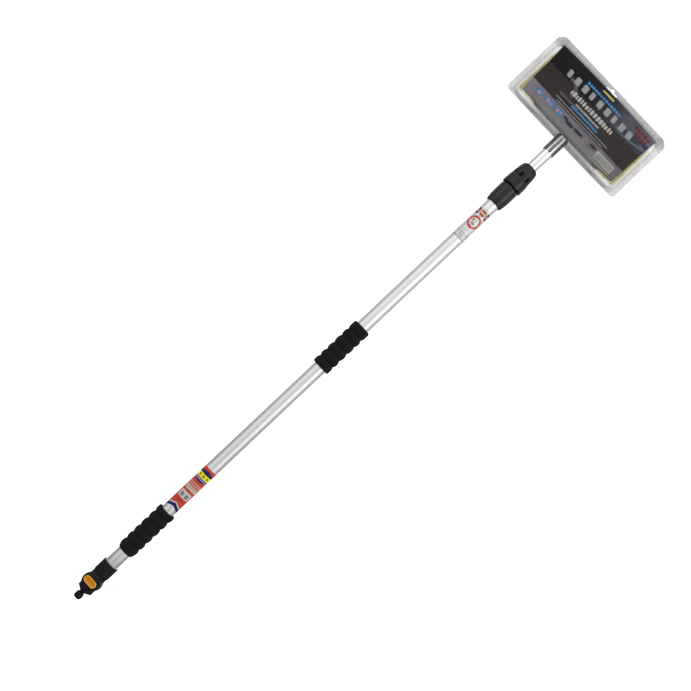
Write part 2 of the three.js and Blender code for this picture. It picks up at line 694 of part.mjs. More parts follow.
// Printed card folded into three panels, a little wider towards its far edge.
function insertCard() {
  const upper = CARD_FOLDS.map(({ x, z }) => new THREE.Vector2(x, z));
  const lower = CARD_FOLDS.map(({ x, z }) => new THREE.Vector2(x, z - CARD_THICKNESS)).reverse();
  const geometry = new THREE.ExtrudeGeometry(new THREE.Shape(upper.concat(lower)), {
    depth: 2, steps: 6, bevelEnabled: false,
  });
  geometry.translate(0, 0, -1);
  geometry.rotateX(Math.PI / 2);
  const place = geometry.attributes.position;
  const farEdge = CARD_FOLDS[CARD_FOLDS.length - 1];
  for (let i = 0; i < place.count; i += 1) {
    const across = place.getY(i);
    const fold = CARD_FOLDS.find(({ x }) => Math.abs(x - place.getX(i)) < 0.01);
    place.setY(i, across * fold.half);
    if (fold === farEdge) {
      place.setX(i, fold.x + CARD_BOW * (1 - across * across));
    }
  }
  return closed(geometry);
}

// ---------------------------------------------------------------- the whole object
function outerPole() {
  const group = new THREE.Group();
  group.add(
    piece('outer_tube', tube(OUTER_START, OUTER_END, OUTER_BORE, OUTER_R, ROUND_FINE), 'aluminium'),
    piece('end_sleeve', endSleeve(), 'blackPlastic'),
    piece('sleeve_bush', sleeveBush(), 'cream'),
    piece('lower_grip', foamGrip(LOWER_GRIP, false), 'foam'),
    piece('mid_grip', foamGrip(MID_GRIP, true), 'foam'),
    piece('lower_label', labelSleeve(LOWER_LABEL), 'label'),
    piece('upper_label', labelSleeve(UPPER_LABEL), 'paleLabel'),
    piece('collar_body', collarBody(), 'greyPlastic'),
    piece('collar_seal', oRing(COLLAR_SEAL_X, INNER_R + GAP, 1.8), 'rubber'),
    piece('collet', collet(), 'nylon'),
    piece('twist_nut', twistNut(), 'greyPlastic'),
  );
  return group;
}

function innerPole() {
  const group = new THREE.Group();
  group.add(
    piece('guide_piston', guidePiston(), 'nylon'),
    piece('piston_o_ring_1', oRing(PISTON_RINGS[0], PISTON_GROOVE_R + GAP, 1.6), 'rubber'),
    piece('piston_o_ring_2', oRing(PISTON_RINGS[1], PISTON_GROOVE_R + GAP, 1.6), 'rubber'),
    piece('inner_tube', tube(INNER_START, INNER_END, INNER_BORE, INNER_R, ROUND_FINE), 'aluminium'),
    piece('head_spigot', headSpigot(), 'blackPlastic'),
    piece('spigot_seal', oRing(HEAD_GROOVE, HEAD_GROOVE_R + 0.2, 0.9), 'rubber'),
  );
  return group;
}

function head() {
  const group = new THREE.Group();
  group.add(
    piece('brush_block', brushBlock(), 'blackPlastic'),
    piece('bristle_plate', bristlePlate(), 'blackPlastic'),
    piece('bristle_field', bristleField(), 'bristle'),
    piece('insert_card', insertCard(), 'card'),
    piece('pack_front', packHalf(1, frontDome), 'clearSheet'),
    piece('pack_back', packHalf(-1, backDome), 'clearSheet'),
  );
  for (const staple of STAPLES) {
    group.add(piece(staple.name, stapleWire(staple), 'steel'));
  }
  return group;
}

const brush = new THREE.Group();
brush.position.set(-TOTAL_LENGTH / 2, 0, DOME_DEPTH);
brush.add(valve(), outerPole(), innerPole(), head());

export default brush;
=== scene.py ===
"""Looks for the telescopic flow-through wash brush in its stapled clear pack.

Places along the pole are millimetres from the hose tip, across it from its axis; at() turns them
into the frame's metres. +X runs to the head, +Z up through the card side, +Y across.
"""

import math
import random

import bmesh
import bpy
from mathutils import Matrix, Vector


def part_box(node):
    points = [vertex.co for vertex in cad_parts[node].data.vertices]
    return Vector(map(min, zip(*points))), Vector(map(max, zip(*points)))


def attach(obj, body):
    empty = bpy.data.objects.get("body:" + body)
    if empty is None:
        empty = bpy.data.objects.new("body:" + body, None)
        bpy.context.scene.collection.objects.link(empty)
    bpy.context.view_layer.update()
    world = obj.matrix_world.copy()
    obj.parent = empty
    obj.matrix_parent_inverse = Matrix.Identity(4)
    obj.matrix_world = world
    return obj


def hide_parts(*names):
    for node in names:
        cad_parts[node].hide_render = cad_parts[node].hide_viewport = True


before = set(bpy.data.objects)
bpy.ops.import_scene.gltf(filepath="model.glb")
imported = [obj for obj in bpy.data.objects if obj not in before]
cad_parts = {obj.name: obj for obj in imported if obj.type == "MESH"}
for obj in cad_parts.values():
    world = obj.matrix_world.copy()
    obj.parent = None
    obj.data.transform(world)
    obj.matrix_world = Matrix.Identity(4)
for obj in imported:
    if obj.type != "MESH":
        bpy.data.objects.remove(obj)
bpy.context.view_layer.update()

MM = 0.001
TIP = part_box("hose_nipple")[0].x
AXIS_Z = (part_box("outer_tube")[0].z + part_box("outer_tube")[1].z) / 2


def at(x, y=0.0, z=0.0):
    """A place given in millimetres from the hose tip and the pole's axis, in the frame."""
    return Vector((TIP + x * MM, y * MM, AXIS_Z + z * MM))


def reach(node):
    """Where a CAD node starts and ends along the pole, in millimetres from the tip."""
    low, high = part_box(node)
    return (low.x - TIP) / MM, (high.x - TIP) / MM


def radius(node):
    """Half of a CAD node's widest measure across the pole, in millimetres."""
    low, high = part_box(node)
    return (high.y - low.y) / 2 / MM


def turns(count):
    """The angles that share out a full turn."""
    return [2 * math.pi * k / count for k in range(count)]


def curved(start, pull, end, s):
    """A place on the curve from start to end that bends towards pull; s runs from 0 to 1."""
    return start * (1 - s) ** 2 + pull * 2 * s * (1 - s) + end * s ** 2


def grey(level):
    return (level, level, level, 1)


def fill_ramp(node, stops):
    """Gives a colour ramp its (position, colour) stops."""
    band = node.color_ramp
    while len(band.elements) < len(stops):
        band.elements.new(0.5)
    for element, (position, colour) in zip(band.elements, stops):
        element.position = position
        element.color = colour


# ---------------------------------------------------------------- camera and light
CAMERA_DISTANCE = 2.2656        # to the pole's axis along the view, in metres
CAMERA_AIM = at(700.0, -3.05, 0)
CAMERA_TILT = math.radians(2.28)    # the head end leans away from the camera
CAMERA_ROLL = math.radians(43.31)   # the pole climbs to the right
CAMERA_LENS = 61.5

COVE_STEPS = (      # brightness of the cove, from under the table to overhead
    (0.0, 0.5), (0.12, 0.58), (0.3, 0.78), (0.62, 0.9), (0.82, 1.0), (0.92, 0.9), (0.97, 0.74))
# Along X the cove brightens towards the head.
COVE_FALL = {"From Min": -0.3, "From Max": 0.12, "To Min": 0.38, "To Max": 1.52}
COVE_STRENGTH = 0.86


def photo_camera():
    """The camera straight above the brush, with the pole rising from lower left to upper right."""
    pole = Vector((1, 0, 0))
    up = Vector((0, 0, 1))
    along = pole * math.cos(CAMERA_TILT) + up * math.sin(CAMERA_TILT)
    look = pole * math.sin(CAMERA_TILT) - up * math.cos(CAMERA_TILT)
    across = Vector((0, -1, 0))
    right = along * math.cos(CAMERA_ROLL) + across * math.sin(CAMERA_ROLL)
    top = along * math.sin(CAMERA_ROLL) - across * math.cos(CAMERA_ROLL)
    data = bpy.data.cameras.new("camera")
    data.lens = CAMERA_LENS
    data.clip_start = 0.05
    data.clip_end = 30
    camera = bpy.data.objects.new("camera", data)
    turn = Matrix((right, top, -look)).transposed().to_4x4()
    camera.matrix_world = Matrix.Translation(CAMERA_AIM - look * CAMERA_DISTANCE) @ turn
    bpy.context.scene.collection.objects.link(camera)
    bpy.context.scene.camera = camera


def softbox(name, place, aim, size, power):
    """An area light at a place in metres, turned to its aim, with its power in watts."""
    data = bpy.data.lights.new(name, "AREA")
    data.shape = "RECTANGLE"
    data.size, data.size_y = size
    data.energy = power
    light = bpy.data.objects.new(name, data)
    light.location = place
    light.rotation_euler = (aim - place).to_track_quat("-Z", "Y").to_euler()
    bpy.context.scene.collection.objects.link(light)


def studio():
    """A white cove, dimmer low down and towards the hose end, and three softboxes."""
    scene = bpy.context.scene
    scene.view_settings.view_transform = "Standard"
    world = bpy.data.worlds.new("studio")
    world.use_nodes = True
    nodes, links = world.node_tree.nodes, world.node_tree.links
    way = nodes.new("ShaderNodeTexCoord")
    parts = nodes.new("ShaderNodeSeparateXYZ")
    links.new(way.outputs["Generated"], parts.inputs[0])
    cove = nodes.new("ShaderNodeValToRGB")
    fill_ramp(cove, [(place, grey(level)) for place, level in COVE_STEPS])
    links.new(parts.outputs["Z"], cove.inputs["Fac"])
    fall = nodes.new("ShaderNodeMapRange")
    for socket, value in COVE_FALL.items():
        fall.inputs[socket].default_value = value
    links.new(parts.outputs["X"], fall.inputs["Value"])
    lit = nodes.new("ShaderNodeMix")
    lit.data_type = "RGBA"
    lit.blend_type = "MULTIPLY"
    lit.inputs[0].default_value = 1
    links.new(cove.outputs["Color"], lit.inputs[6])
    links.new(fall.outputs["Result"], lit.inputs[7])
    links.new(lit.outputs[2], nodes["Background"].inputs["Color"])
    nodes["Background"].inputs["Strength"].default_value = COVE_STRENGTH
    scene.world = world
    middle = at(700, 0, 0)
    softbox("left_bank", middle + Vector((0, 1.7, 1.5)), middle, (2.8, 0.9), 6)
    softbox("right_bank", middle + Vector((0.45, -1.7, 1.5)), at(1150), (2.0, 0.7), 13)
    softbox("head_bank", middle + Vector((2.2, 0.3, 1.6)), at(1300), (1.0, 1.0), 3)


# ---------------------------------------------------------------- materials
def rgb(red, green, blue):
    """A colour given in sRGB steps of 0 to 255, as the linear colour a shader wants."""
    def linear(step):
        value = step / 255
        return value / 12.92 if value <= 0.04045 else ((value + 0.055) / 1.055) ** 2.4
    return (linear(red), linear(green), linear(blue), 1)


class Paint:
    """A node material under construction: a Principled shader with helpers to drive it."""

    def __init__(self, name, roughness=0.5, metallic=0.0):
        self.material = bpy.data.materials.new(name)
        self.material.use_nodes = True
        self.nodes = self.material.node_tree.nodes
        self.links = self.material.node_tree.links
        self.shader = self.nodes["Principled BSDF"]
        self.shader.inputs["Roughness"].default_value = roughness
        self.shader.inputs["Metallic"].default_value = metallic
        self.where = self.nodes.new("ShaderNodeTexCoord").outputs["Object"]

    def set(self, socket, value):
        self.shader.inputs[socket].default_value = value

    def stretched(self, scale):
        mapping = self.nodes.new("ShaderNodeMapping")
        mapping.inputs["Scale"].default_value = scale
        self.links.new(self.where, mapping.inputs["Vector"])
        return mapping.outputs["Vector"]

    def noise(self, scale, detail=4.0, stretch=(1, 1, 1)):
        """Noise whose features repeat about scale times a metre."""
        node = self.nodes.new("ShaderNodeTexNoise")
        node.inputs["Scale"].default_value = scale
        node.inputs["Detail"].default_value = detail
        self.links.new(self.stretched(stretch), node.inputs["Vector"])
        return node.outputs["Fac"]

    def cells(self, scale):
        node = self.nodes.new("ShaderNodeTexVoronoi")
        node.inputs["Scale"].default_value = scale
        self.links.new(self.where, node.inputs["Vector"])
        return node.outputs["Distance"]

    def along(self, axis, start, end):
        """0 to 1 between two places on an axis of the frame, given in metres."""
        parts = self.nodes.new("ShaderNodeSeparateXYZ")
        self.links.new(self.where, parts.inputs[0])
        node = self.nodes.new("ShaderNodeMapRange")
        node.inputs["From Min"].default_value = start
        node.inputs["From Max"].default_value = end
        self.links.new(parts.outputs[axis], node.inputs["Value"])
        return node.outputs["Result"]

    def feed(self, socket, value):
        """Links a node's output to the socket, or sets a plain value on it."""
        if isinstance(value, bpy.types.NodeSocket):
            self.links.new(value, socket)
        else:
            socket.default_value = value

    def sums(self, kind, first, second):
        """Adds or multiplies two values, kept between 0 and 1."""
        node = self.nodes.new("ShaderNodeMath")
        node.operation = kind
        node.use_clamp = True
        self.feed(node.inputs[0], first)
        self.feed(node.inputs[1], second)
        return node.outputs["Value"]

    def ramp(self, value, stops):
        """Colours along a value: stops is a list of (position, colour)."""
        node = self.nodes.new("ShaderNodeValToRGB")
        fill_ramp(node, stops)
        self.links.new(value, node.inputs["Fac"])
        return node.outputs["Color"]

    def between(self, value, low, high):
        """Maps a 0 to 1 value on to low to high."""
        node = self.nodes.new("ShaderNodeMapRange")
        node.inputs["To Min"].default_value = low
        node.inputs["To Max"].default_value = high
        self.links.new(value, node.inputs["Value"])
        return node.outputs["Result"]

    def mix(self, factor, first, second, kind="MIX"):
        node = self.nodes.new("ShaderNodeMix")
        node.data_type = "RGBA"
        node.blend_type = kind
        for place, value in ((0, factor), (6, first), (7, second)):     # a colour mix's Factor, A and B
            self.feed(node.inputs[place], value)
        return node.outputs[2]

    def drive(self, socket, value):
        self.links.new(value, self.shader.inputs[socket])

    def bump(self, height, depth, strength=1.0):
        """Relief of that depth in millimetres."""
        node = self.nodes.new("ShaderNodeBump")
        node.inputs["Distance"].default_value = depth * MM
        node.inputs["Strength"].default_value = strength
        self.links.new(height, node.inputs["Height"])
        self.drive("Normal", node.outputs["Normal"])


def darker(colour, share):
    return tuple(part * share for part in colour[:3]) + (1,)


def aluminium(name, colour, roughness):
    paint = Paint(name, metallic=1.0)
    lines = paint.noise(1500, 3, (0.012, 1, 1))
    smudge = paint.noise(14, 3)
    paint.drive("Base Color", paint.ramp(lines, [(0.3, darker(colour, 0.93)), (0.7, colour)]))
    paint.drive("Roughness", paint.between(smudge, roughness - 0.05, roughness + 0.07))
    paint.bump(lines, 0.012, 0.35)
    return paint.material


def moulded(name, colour, roughness=0.5, grain=0.02, grain_scale=2600, scuffs=0.25, gloss=0.5):
    """Injection moulded plastic: fine spark grain, faint flow marks and a few rubbed places."""
    paint = Paint(name)
    paint.set("Specular IOR Level", gloss)
    grain_height = paint.noise(grain_scale, 2)
    cloud = paint.noise(60, 4)
    rubbed = paint.noise(240, 5, (0.5, 1, 1))
    base = paint.ramp(cloud, [(0.3, darker(colour, 0.88)), (0.7, darker(colour, 1.1))])
    paler = tuple(min(1, part * 1.5 + 0.012) for part in colour[:3]) + (1,)
    wear = paint.ramp(rubbed, [(0.60, grey(0)), (0.72, grey(scuffs))])
    paint.drive("Base Color", paint.mix(wear, base, paler))
    paint.drive("Roughness", paint.between(cloud, roughness - 0.06, roughness + 0.08))
    paint.bump(grain_height, grain, 0.5)
    return paint.material


def knob_plastic(name, deep, pale, roughness):
    """Orange plastic, clouded between two shades, with a fine moulded grain."""
    paint = Paint(name, roughness=roughness)
    paint.set("Specular IOR Level", 0.2)
    paint.drive("Base Color", paint.ramp(paint.noise(90, 4), [(0.3, deep), (0.7, pale)]))
    paint.bump(paint.noise(1800, 2), 0.012, 0.5)
    return paint.material


def foam_skin():
    """Black closed-cell foam: small open pores, a dusty bloom in patches."""
    paint = Paint("foam", roughness=0.92)
    pores = paint.cells(1500)
    lumps = paint.noise(420, 5)
    dust = paint.noise(90, 4)
    base = paint.ramp(pores, [(0.05, rgb(8, 7, 7)), (0.5, rgb(25, 23, 24))])
    paint.drive("Base Color", paint.mix(paint.between(dust, 0, 0.25), base, rgb(34, 32, 33)))
    paint.set("Specular IOR Level", 0.12)
    height = paint.mix(0.45, paint.ramp(pores, [(0.0, grey(0)), (0.45, grey(1))]), lumps)
    paint.bump(height, 0.35, 0.8)
    return paint.material


def clear_sheet(name, flange, wall, roof, rim, step, painted_light_layers=()):
    """Formed clear sheet: greyest at the flange, clearest over the card, fine scuffs and some gloss.

    The shares say how much of what lies behind it is lost in each part. Every layer of painted shade
    and painted reflections adds to them and is the product of ramps along an axis: (axis, start, end,
    stops).
    """
    paint = Paint(name, roughness=0.14)
    haze = paint.noise(30, 3)
    grey_low, grey_high = rgb(step, step, step + 2), rgb(step + 10, step + 10, step + 11)
    paint.drive("Base Color", paint.ramp(haze, [(0.3, grey_low), (0.7, grey_high)]))
    paint.drive("Roughness", paint.between(haze, 0.1, 0.2))
    paint.set("Specular IOR Level", 0.14)
    edge = paint.nodes.new("ShaderNodeLayerWeight")
    edge.inputs["Blend"].default_value = 0.2
    flange_z = at(0).z
    sheet_half = 0.03        # metres above and below the flange that the shares are spread over
    shares = [(place, grey(share)) for place, share in (
        (0.0, wall), (0.455, wall), (0.475, flange), (0.525, flange), (0.545, wall), (0.75, roof))]
    body = paint.ramp(paint.along("Z", flange_z - sheet_half, flange_z + sheet_half), shares)
    # each layer of painted shade and painted reflections adds to the alpha
    for light_layer in painted_light_layers:
        whole = 1.0
        for axis, start, end, stops in light_layer:
            part = paint.ramp(paint.along(axis, start, end), [(place, grey(s)) for place, s in stops])
            whole = paint.sums("MULTIPLY", part, whole)
        body = paint.sums("ADD", body, whole)
    paint.drive("Alpha", paint.sums("ADD", body, paint.between(edge.outputs["Facing"], 0.0, rim)))
    return paint.material


def ink(name, colour, roughness=0.32, share=1.0):
    """Printed ink with a faint screen mottle."""
    paint = Paint(name)
    paint.set("Specular IOR Level", 0.25)
    mottle = paint.noise(700, 2)
    paint.drive("Base Color", paint.ramp(mottle, [(0.35, darker(colour, 0.9)), (0.65, colour)]))
    paint.drive("Roughness", paint.between(mottle, roughness - 0.04, roughness + 0.05))
    if share < 1:
        paint.set("Alpha", share)
    return paint.material


def bristle_fibre():
    """Split yellow plastic fibre, in clumps of deeper and paler yellow."""
    paint = Paint("bristle", roughness=0.5)
    clumps = paint.noise(260, 3, (1, 1, 0.15))
    paint.drive("Base Color", paint.ramp(clumps, [
        (0.25, rgb(246, 234, 118)), (0.5, rgb(252, 245, 160)), (0.8, rgb(254, 251, 204))]))
    return paint.material


def rubber():
    paint = Paint("rubber")
    film = paint.noise(300, 3)
    paint.drive("Base Color", paint.ramp(film, [(0.3, rgb(14, 14, 14)), (0.7, rgb(26, 26, 27))]))
    paint.drive("Roughness", paint.between(film, 0.5, 0.7))
    paint.bump(film, 0.03, 0.4)
    return paint.material


def steel_wire():
    paint = Paint("steel_wire", metallic=1.0)
    drawn = paint.noise(900, 3)
    paint.drive("Base Color", paint.ramp(drawn, [(0.3, rgb(72, 70, 66)), (0.7, rgb(128, 126, 120))]))
    paint.drive("Roughness", paint.between(drawn, 0.25, 0.45))
    return paint.material


def metal(name, colour, roughness):
    paint = Paint(name, metallic=1.0)
    turned = paint.noise(900, 3, (1, 0.05, 0.05))
    paint.drive("Base Color", paint.ramp(turned, [(0.3, darker(colour, 0.8)), (0.7, colour)]))
    paint.drive("Roughness", paint.between(turned, roughness, roughness + 0.15))
    return paint.material


def floor_paint():
    paint = Paint("floor", roughness=0.8)
    paint.set("Specular IOR Level", 0.0)
    paint.set("Emission Color", grey(1))
    paint.set("Emission Strength", 0.72)
    mottle = paint.noise(3, 3)
    paint.drive("Base Color", paint.ramp(mottle, [
        (0.3, rgb(249, 249, 249)), (0.7, rgb(252, 252, 252))]))
    return paint.material


# ---------------------------------------------------------------- mesh helpers
SMOOTH_ANGLE = math.radians(32)


def make_object(name, vertices, faces, material, sharp=SMOOTH_ANGLE):
    mesh = bpy.data.meshes.new(name)
    mesh.from_pydata([tuple(v) for v in vertices], [], faces)
    mesh.update()
    work = bmesh.new()
    work.from_mesh(mesh)
    bmesh.ops.recalc_face_normals(work, faces=work.faces)
    work.to_mesh(mesh)
    work.free()
    mesh.shade_smooth()
    mesh.set_sharp_from_angle(angle=sharp)
    mesh.materials.append(material)
    made = bpy.data.objects.new(name, mesh)
    bpy.context.scene.collection.objects.link(made)
    return made


def place_piece(piece, body, slot, *nodes):
    """The piece rides on a body and stands for CAD nodes. The slot is not used."""
    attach(piece, body)
    if nodes:
        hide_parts(*nodes)
    return piece


def apply_modifiers(piece):
    bpy.context.view_layer.update()
    graph = bpy.context.evaluated_depsgraph_get()
    done = bpy.data.meshes.new_from_object(piece.evaluated_get(graph))
    piece.modifiers.clear()
    piece.data = done


def smooth_again(piece, sharp=SMOOTH_ANGLE):
    piece.data.shade_smooth()
    piece.data.set_sharp_from_angle(angle=sharp)


def boolean(piece, tool, kind):
    """Joins or cuts piece with tool, then removes the tool."""
    step = piece.modifiers.new(kind, "BOOLEAN")
    step.operation = kind
    step.object = tool
    step.solver = "EXACT"
    apply_modifiers(piece)
    bpy.data.objects.remove(tool)


def rounded(profile, corner, steps=3):
    """The closed outline with each corner replaced by an arc-like curve of about that size."""
    result = []
    count = len(profile)
    for i, (x, r) in enumerate(profile):
        here = Vector((x, r))
        before = Vector(profile[i - 1]) - here
        after = Vector(profile[(i + 1) % count]) - here
        if before.length < 1e-6 or after.length < 1e-6 or abs(before.angle(after) - math.pi) < 0.12:
            result.append((x, r))
            continue
        cut = min(corner, before.length * 0.45, after.length * 0.45)
        start = here + before.normalized() * cut
        end = here + after.normalized() * cut
        for k in range(steps + 1):
            s = k / steps
            point = curved(start, here, end, s)
            result.append((point.x, point.y))
    return result


def turned(name, profile, material, sides=96, ripple=None, sharp=SMOOTH_ANGLE):
    """A closed ring about the pole: the profile is a closed loop of (x, radius).

    ripple(x, radius, angle) may give another radius for each point.
    """
    vertices = []
    for x, r in profile:
        for angle in turns(sides):
            rr = ripple(x, r, angle) if ripple else r
            vertices.append(at(x, rr * math.sin(angle), rr * math.cos(angle)))
    faces = []
    count = len(profile)
    for i in range(count):
        j = (i + 1) % count
        for k in range(sides):
            n = (k + 1) % sides
            faces.append((i * sides + k, j * sides + k, j * sides + n, i * sides + n))
    return make_object(name, vertices, faces, material, sharp)


def loft(name, rings, material, close_start=True, close_end=True, sharp=SMOOTH_ANGLE):
    """A skin over rings of equal point count, closed by a fan at either end."""
    sides = len(rings[0])
    vertices = [point for ring in rings for point in ring]
    faces = []
    for i in range(len(rings) - 1):
        for k in range(sides):
            n = (k + 1) % sides
            a, b = i * sides, (i + 1) * sides
            faces.append((a + k, a + n, b + n, b + k))
    last = (len(rings) - 1) * sides
    for wanted, ring, start in ((close_start, rings[0], 0), (close_end, rings[-1], last)):
        if wanted:
            centre = sum((Vector(p) for p in ring), Vector()) / sides
            vertices.append(centre)
            hub = len(vertices) - 1
            for k in range(sides):
                faces.append((start + k, start + (k + 1) % sides, hub))
    return make_object(name, vertices, faces, material, sharp)


def plug(name, start, end, r, material, sides=48):
    """A round cutter on the pole's axis."""
    near_axis = 0.01
    return turned(name, [(start, near_axis), (start, r), (end, r), (end, near_axis)], material, sides)


# ---------------------------------------------------------------- finishes
OUTER_METAL = aluminium("outer_aluminium", rgb(222, 224, 223), 0.46)
INNER_METAL = aluminium("inner_aluminium", rgb(222, 223, 222), 0.2)
BLACK = moulded("black_plastic", rgb(22, 20, 21), 0.4, gloss=0.16)
CHARCOAL = moulded("grey_plastic", rgb(24, 22, 22), 0.28, 0.03, 2200, 0.3, gloss=0.34)
NUT_PLASTIC = moulded("nut_plastic", rgb(17, 15, 17), 0.3, 0.03, 2200, 0.3, gloss=0.32)
# Painted shade: a darker, duller plastic for the nut's finger pockets.
POCKET_PAINTED_SHADE = moulded("pocket_painted_shade", rgb(9, 8, 9), 0.6, 0.05, 1800, 0.1, gloss=0.1)
ORANGE = knob_plastic("orange_plastic", rgb(212, 150, 40), rgb(224, 162, 52), 0.46)
# Painted shade: the knob's dish is coloured a darker orange than its rim.
ORANGE_DISH_PAINTED_SHADE = knob_plastic("orange_dish_painted_shade", rgb(186, 118, 16), rgb(198, 128, 22), 0.55)
CREAM = moulded("cream_plastic", rgb(160, 156, 138), 0.5)
NYLON = moulded("nylon", rgb(228, 226, 216), 0.45)
FOAM = foam_skin()
RUBBER = rubber()
# Painted shade and painted reflections on the clear sheet, laid out for the camera's view: (axis,
# start, end, stops), multiplied together.
# painted shade over the far wall
FAR_PAINTED_LIGHT = (("X", at(1395).x, at(1412).x, ((0.1, 0.0), (0.9, 0.14))),)
# painted shade along both side walls
SIDE_PAINTED_LIGHT = (("Y", -0.15, 0.15, (
    (0.03, 0.0), (0.045, 0.07), (0.07, 0.07), (0.085, 0.0), (0.915, 0.0), (0.93, 0.07), (0.955, 0.07),
    (0.97, 0.0))),)
# painted shade over the middle of the near wall
NEAR_PAINTED_LIGHT = (
    ("X", at(1272).x, at(1302).x, ((0.0, 0.0), (0.26, 0.0), (0.34, 0.3), (0.8, 0.3), (1.0, 0.0))),
    ("Y", -0.15, 0.15, ((0.15, 0.0), (0.28, 1.0), (0.72, 1.0), (0.85, 0.0))))
# The pack's clear sheet, with the painted shade and painted reflections above in its alpha.
CLEAR_WITH_PAINTED_LIGHT = clear_sheet("clear_sheet", 0.22, 0.1, 0.004, 0.32, 158, (FAR_PAINTED_LIGHT, SIDE_PAINTED_LIGHT, NEAR_PAINTED_LIGHT))
# Painted reflections on the neck: a dark stripe along its middle and dark edges, with clear bands
# between, over a darker grey sheet.
NECK_PAINTED_REFLECTION = (("Y", -0.012, 0.012, (
    (0.0, 0.34), (0.12, 0.2), (0.22, 0.0), (0.31, 0.0), (0.42, 0.36), (0.58, 0.36), (0.66, 0.06),
    (0.74, 0.06), (0.86, 0.2), (1.0, 0.34))),)
NECK_CLEAR_WITH_PAINTED_REFLECTION = clear_sheet("clear_neck_with_painted_reflection", 0.2, 0.05, 0.02, 0.5, 84, (NECK_PAINTED_REFLECTION,))
BRISTLE = bristle_fibre()
WIRE = steel_wire()
BRASS = metal("brass", rgb(196, 160, 84), 0.22)
RED = ink("red_ink", rgb(190, 58, 34))
WHITE = ink("white_ink", rgb(184, 187, 181))
NAVY = ink("navy_ink", rgb(22, 20, 84))
YELLOW = ink("yellow_ink", rgb(222, 216, 20))
GREY = ink("grey_ink", rgb(96, 98, 98))
BLACK_INK = ink("black_ink", rgb(32, 31, 33))
LAVENDER = ink("lavender_ink", rgb(128, 122, 182))
PINK = ink("pink_ink", rgb(206, 150, 146))
SKY = ink("sky_ink", rgb(70, 140, 196))
MAROON = ink("maroon_ink", rgb(108, 24, 30))
PALE_GREY = ink("pale_grey_ink", rgb(170, 172, 176))
MID_GREY = ink("mid_grey_ink", rgb(146, 152, 160))
ROSE = ink("rose_ink", rgb(202, 84, 76))
BRICK = ink("brick_ink", rgb(160, 44, 40))
UMBER = ink("umber_ink", rgb(98, 74, 40))
FILM = ink("clear_film", rgb(232, 234, 234), share=0.2)

# ---------------------------------------------------------------- tubes
OUTER_R = radius("outer_tube")
TUBE_WALL = 1.3


def tubes():
    """Both tubes, each in stations along its length."""
    stations = 24
    for node, body, finish, slot in (
        ("outer_tube", "outer_pole", OUTER_METAL, "outer_aluminium"),
        ("inner_tube", "inner_pole", INNER_METAL, "inner_aluminium"),
    ):
        start, end = reach(node)
        r = radius(node)
        outside = [(start + (end - start) * i / stations, r) for i in range(stations + 1)]
        profile = rounded([(end, r - TUBE_WALL), (start, r - TUBE_WALL)] + outside, 0.3, 2)
        place_piece(turned(node + "_skin", profile, finish, 128), body, slot, node)


# ---------------------------------------------------------------- hose end
VALVE_ROLL = math.radians(9)     # the valve unit is turned about the pole towards +Y
VALVE_X = 44.0      # the knob's stem
VALVE_R = 16.3
BOSS_TOP = 16.8
BALL_ROOM_R = 9.9
STEM_R = 4


def rolled(point):
    """A place in the valve unit, turned with it about the pole."""
    centre = at(point[0])
    offset = Vector((0, point[1], point[2])) * MM
    turn = Matrix.Rotation(-VALVE_ROLL, 3, "X")
    return centre + turn @ offset


def ellipse_ring(x, y_reach, x_reach, z, sides=72, square=2.0):
    """A ring round the valve's stem axis; square over 2 gives a fuller, more oblong oval."""
    ring = []
    for angle in turns(sides):
        c, s = math.cos(angle), math.sin(angle)
        ring.append(rolled((
            x + x_reach * math.copysign(abs(c) ** (2 / square), c),
            y_reach * math.copysign(abs(s) ** (2 / square), s), z)))
    return ring


def stadium_ring(length, width, z, sides=80):
    """A ring of straight sides and round ends, its long way across the pole."""
    half = length / 2 - width / 2
    ring = []
    for angle in turns(sides):
        c, s = math.cos(angle), math.sin(angle)
        ring.append(rolled((VALVE_X + width / 2 * c, math.copysign(half, s) + width / 2 * s, z)))
    return ring


def valve_body():
    """The barrel with its boss, two small lugs, the ball's room and the spigot that enters the tube."""
    start, end = reach("valve_body")[0], 64.6
    r, spigot_r, spigot_end, room_end = VALVE_R, 12.3, 92, 55
    profile = rounded([
        (start, BALL_ROOM_R), (start, r), (59.8, r), (60.6, r - 0.9), (61.6, r - 0.9), (62.2, r - 0.1),
        (end, r - 0.3), (end, spigot_r), (78.4, spigot_r), (78.4, 11), (81.6, 11), (81.6, spigot_r),
        (spigot_end, spigot_r), (spigot_end, 5), (room_end, 5), (room_end, BALL_ROOM_R)], 0.7)
    shell = turned("valve_body_shell", profile, BLACK, 96)
    boss = loft("boss", [
        ellipse_ring(VALVE_X, reach_y, reach_y, z) for z, reach_y in (
            (-9, 14), (-8.6, 17.4), (-6, 18.9), (10, 19.0), (14.8, 18.8), (16.2, 18.0),
            (BOSS_TOP, 16.6))
    ], BLACK)
    hole_r = STEM_R + 0.4
    stem_hole = loft("stem_hole", [
        ellipse_ring(VALVE_X, hole_r, hole_r, z, 32) for z in (8, 20)], BLACK)
    chamber = plug("chamber", 21, room_end, BALL_ROOM_R, BLACK, 64)
    boolean(shell, boss, "UNION")
    boolean(shell, chamber, "DIFFERENCE")
    boolean(shell, stem_hole, "DIFFERENCE")
    for side in (-1, 1):
        lug = loft("lug", [
            [rolled((x, side * 5.6 + y * shrink, z)) for x, y in (
                (60.4, -2.2), (63.4, -2.2), (64.2, -1.2), (64.2, 1.2), (63.4, 2.2), (60.4, 2.2),
                (59.8, 1.2), (59.8, -1.2))]
            for z, shrink in ((10, 1), (15.6, 1), (16.1, 0.8))
        ], BLACK)
        boolean(shell, lug, "UNION")
    smooth_again(shell)
    place_piece(shell, "outer_pole", "black_plastic", "valve_body")


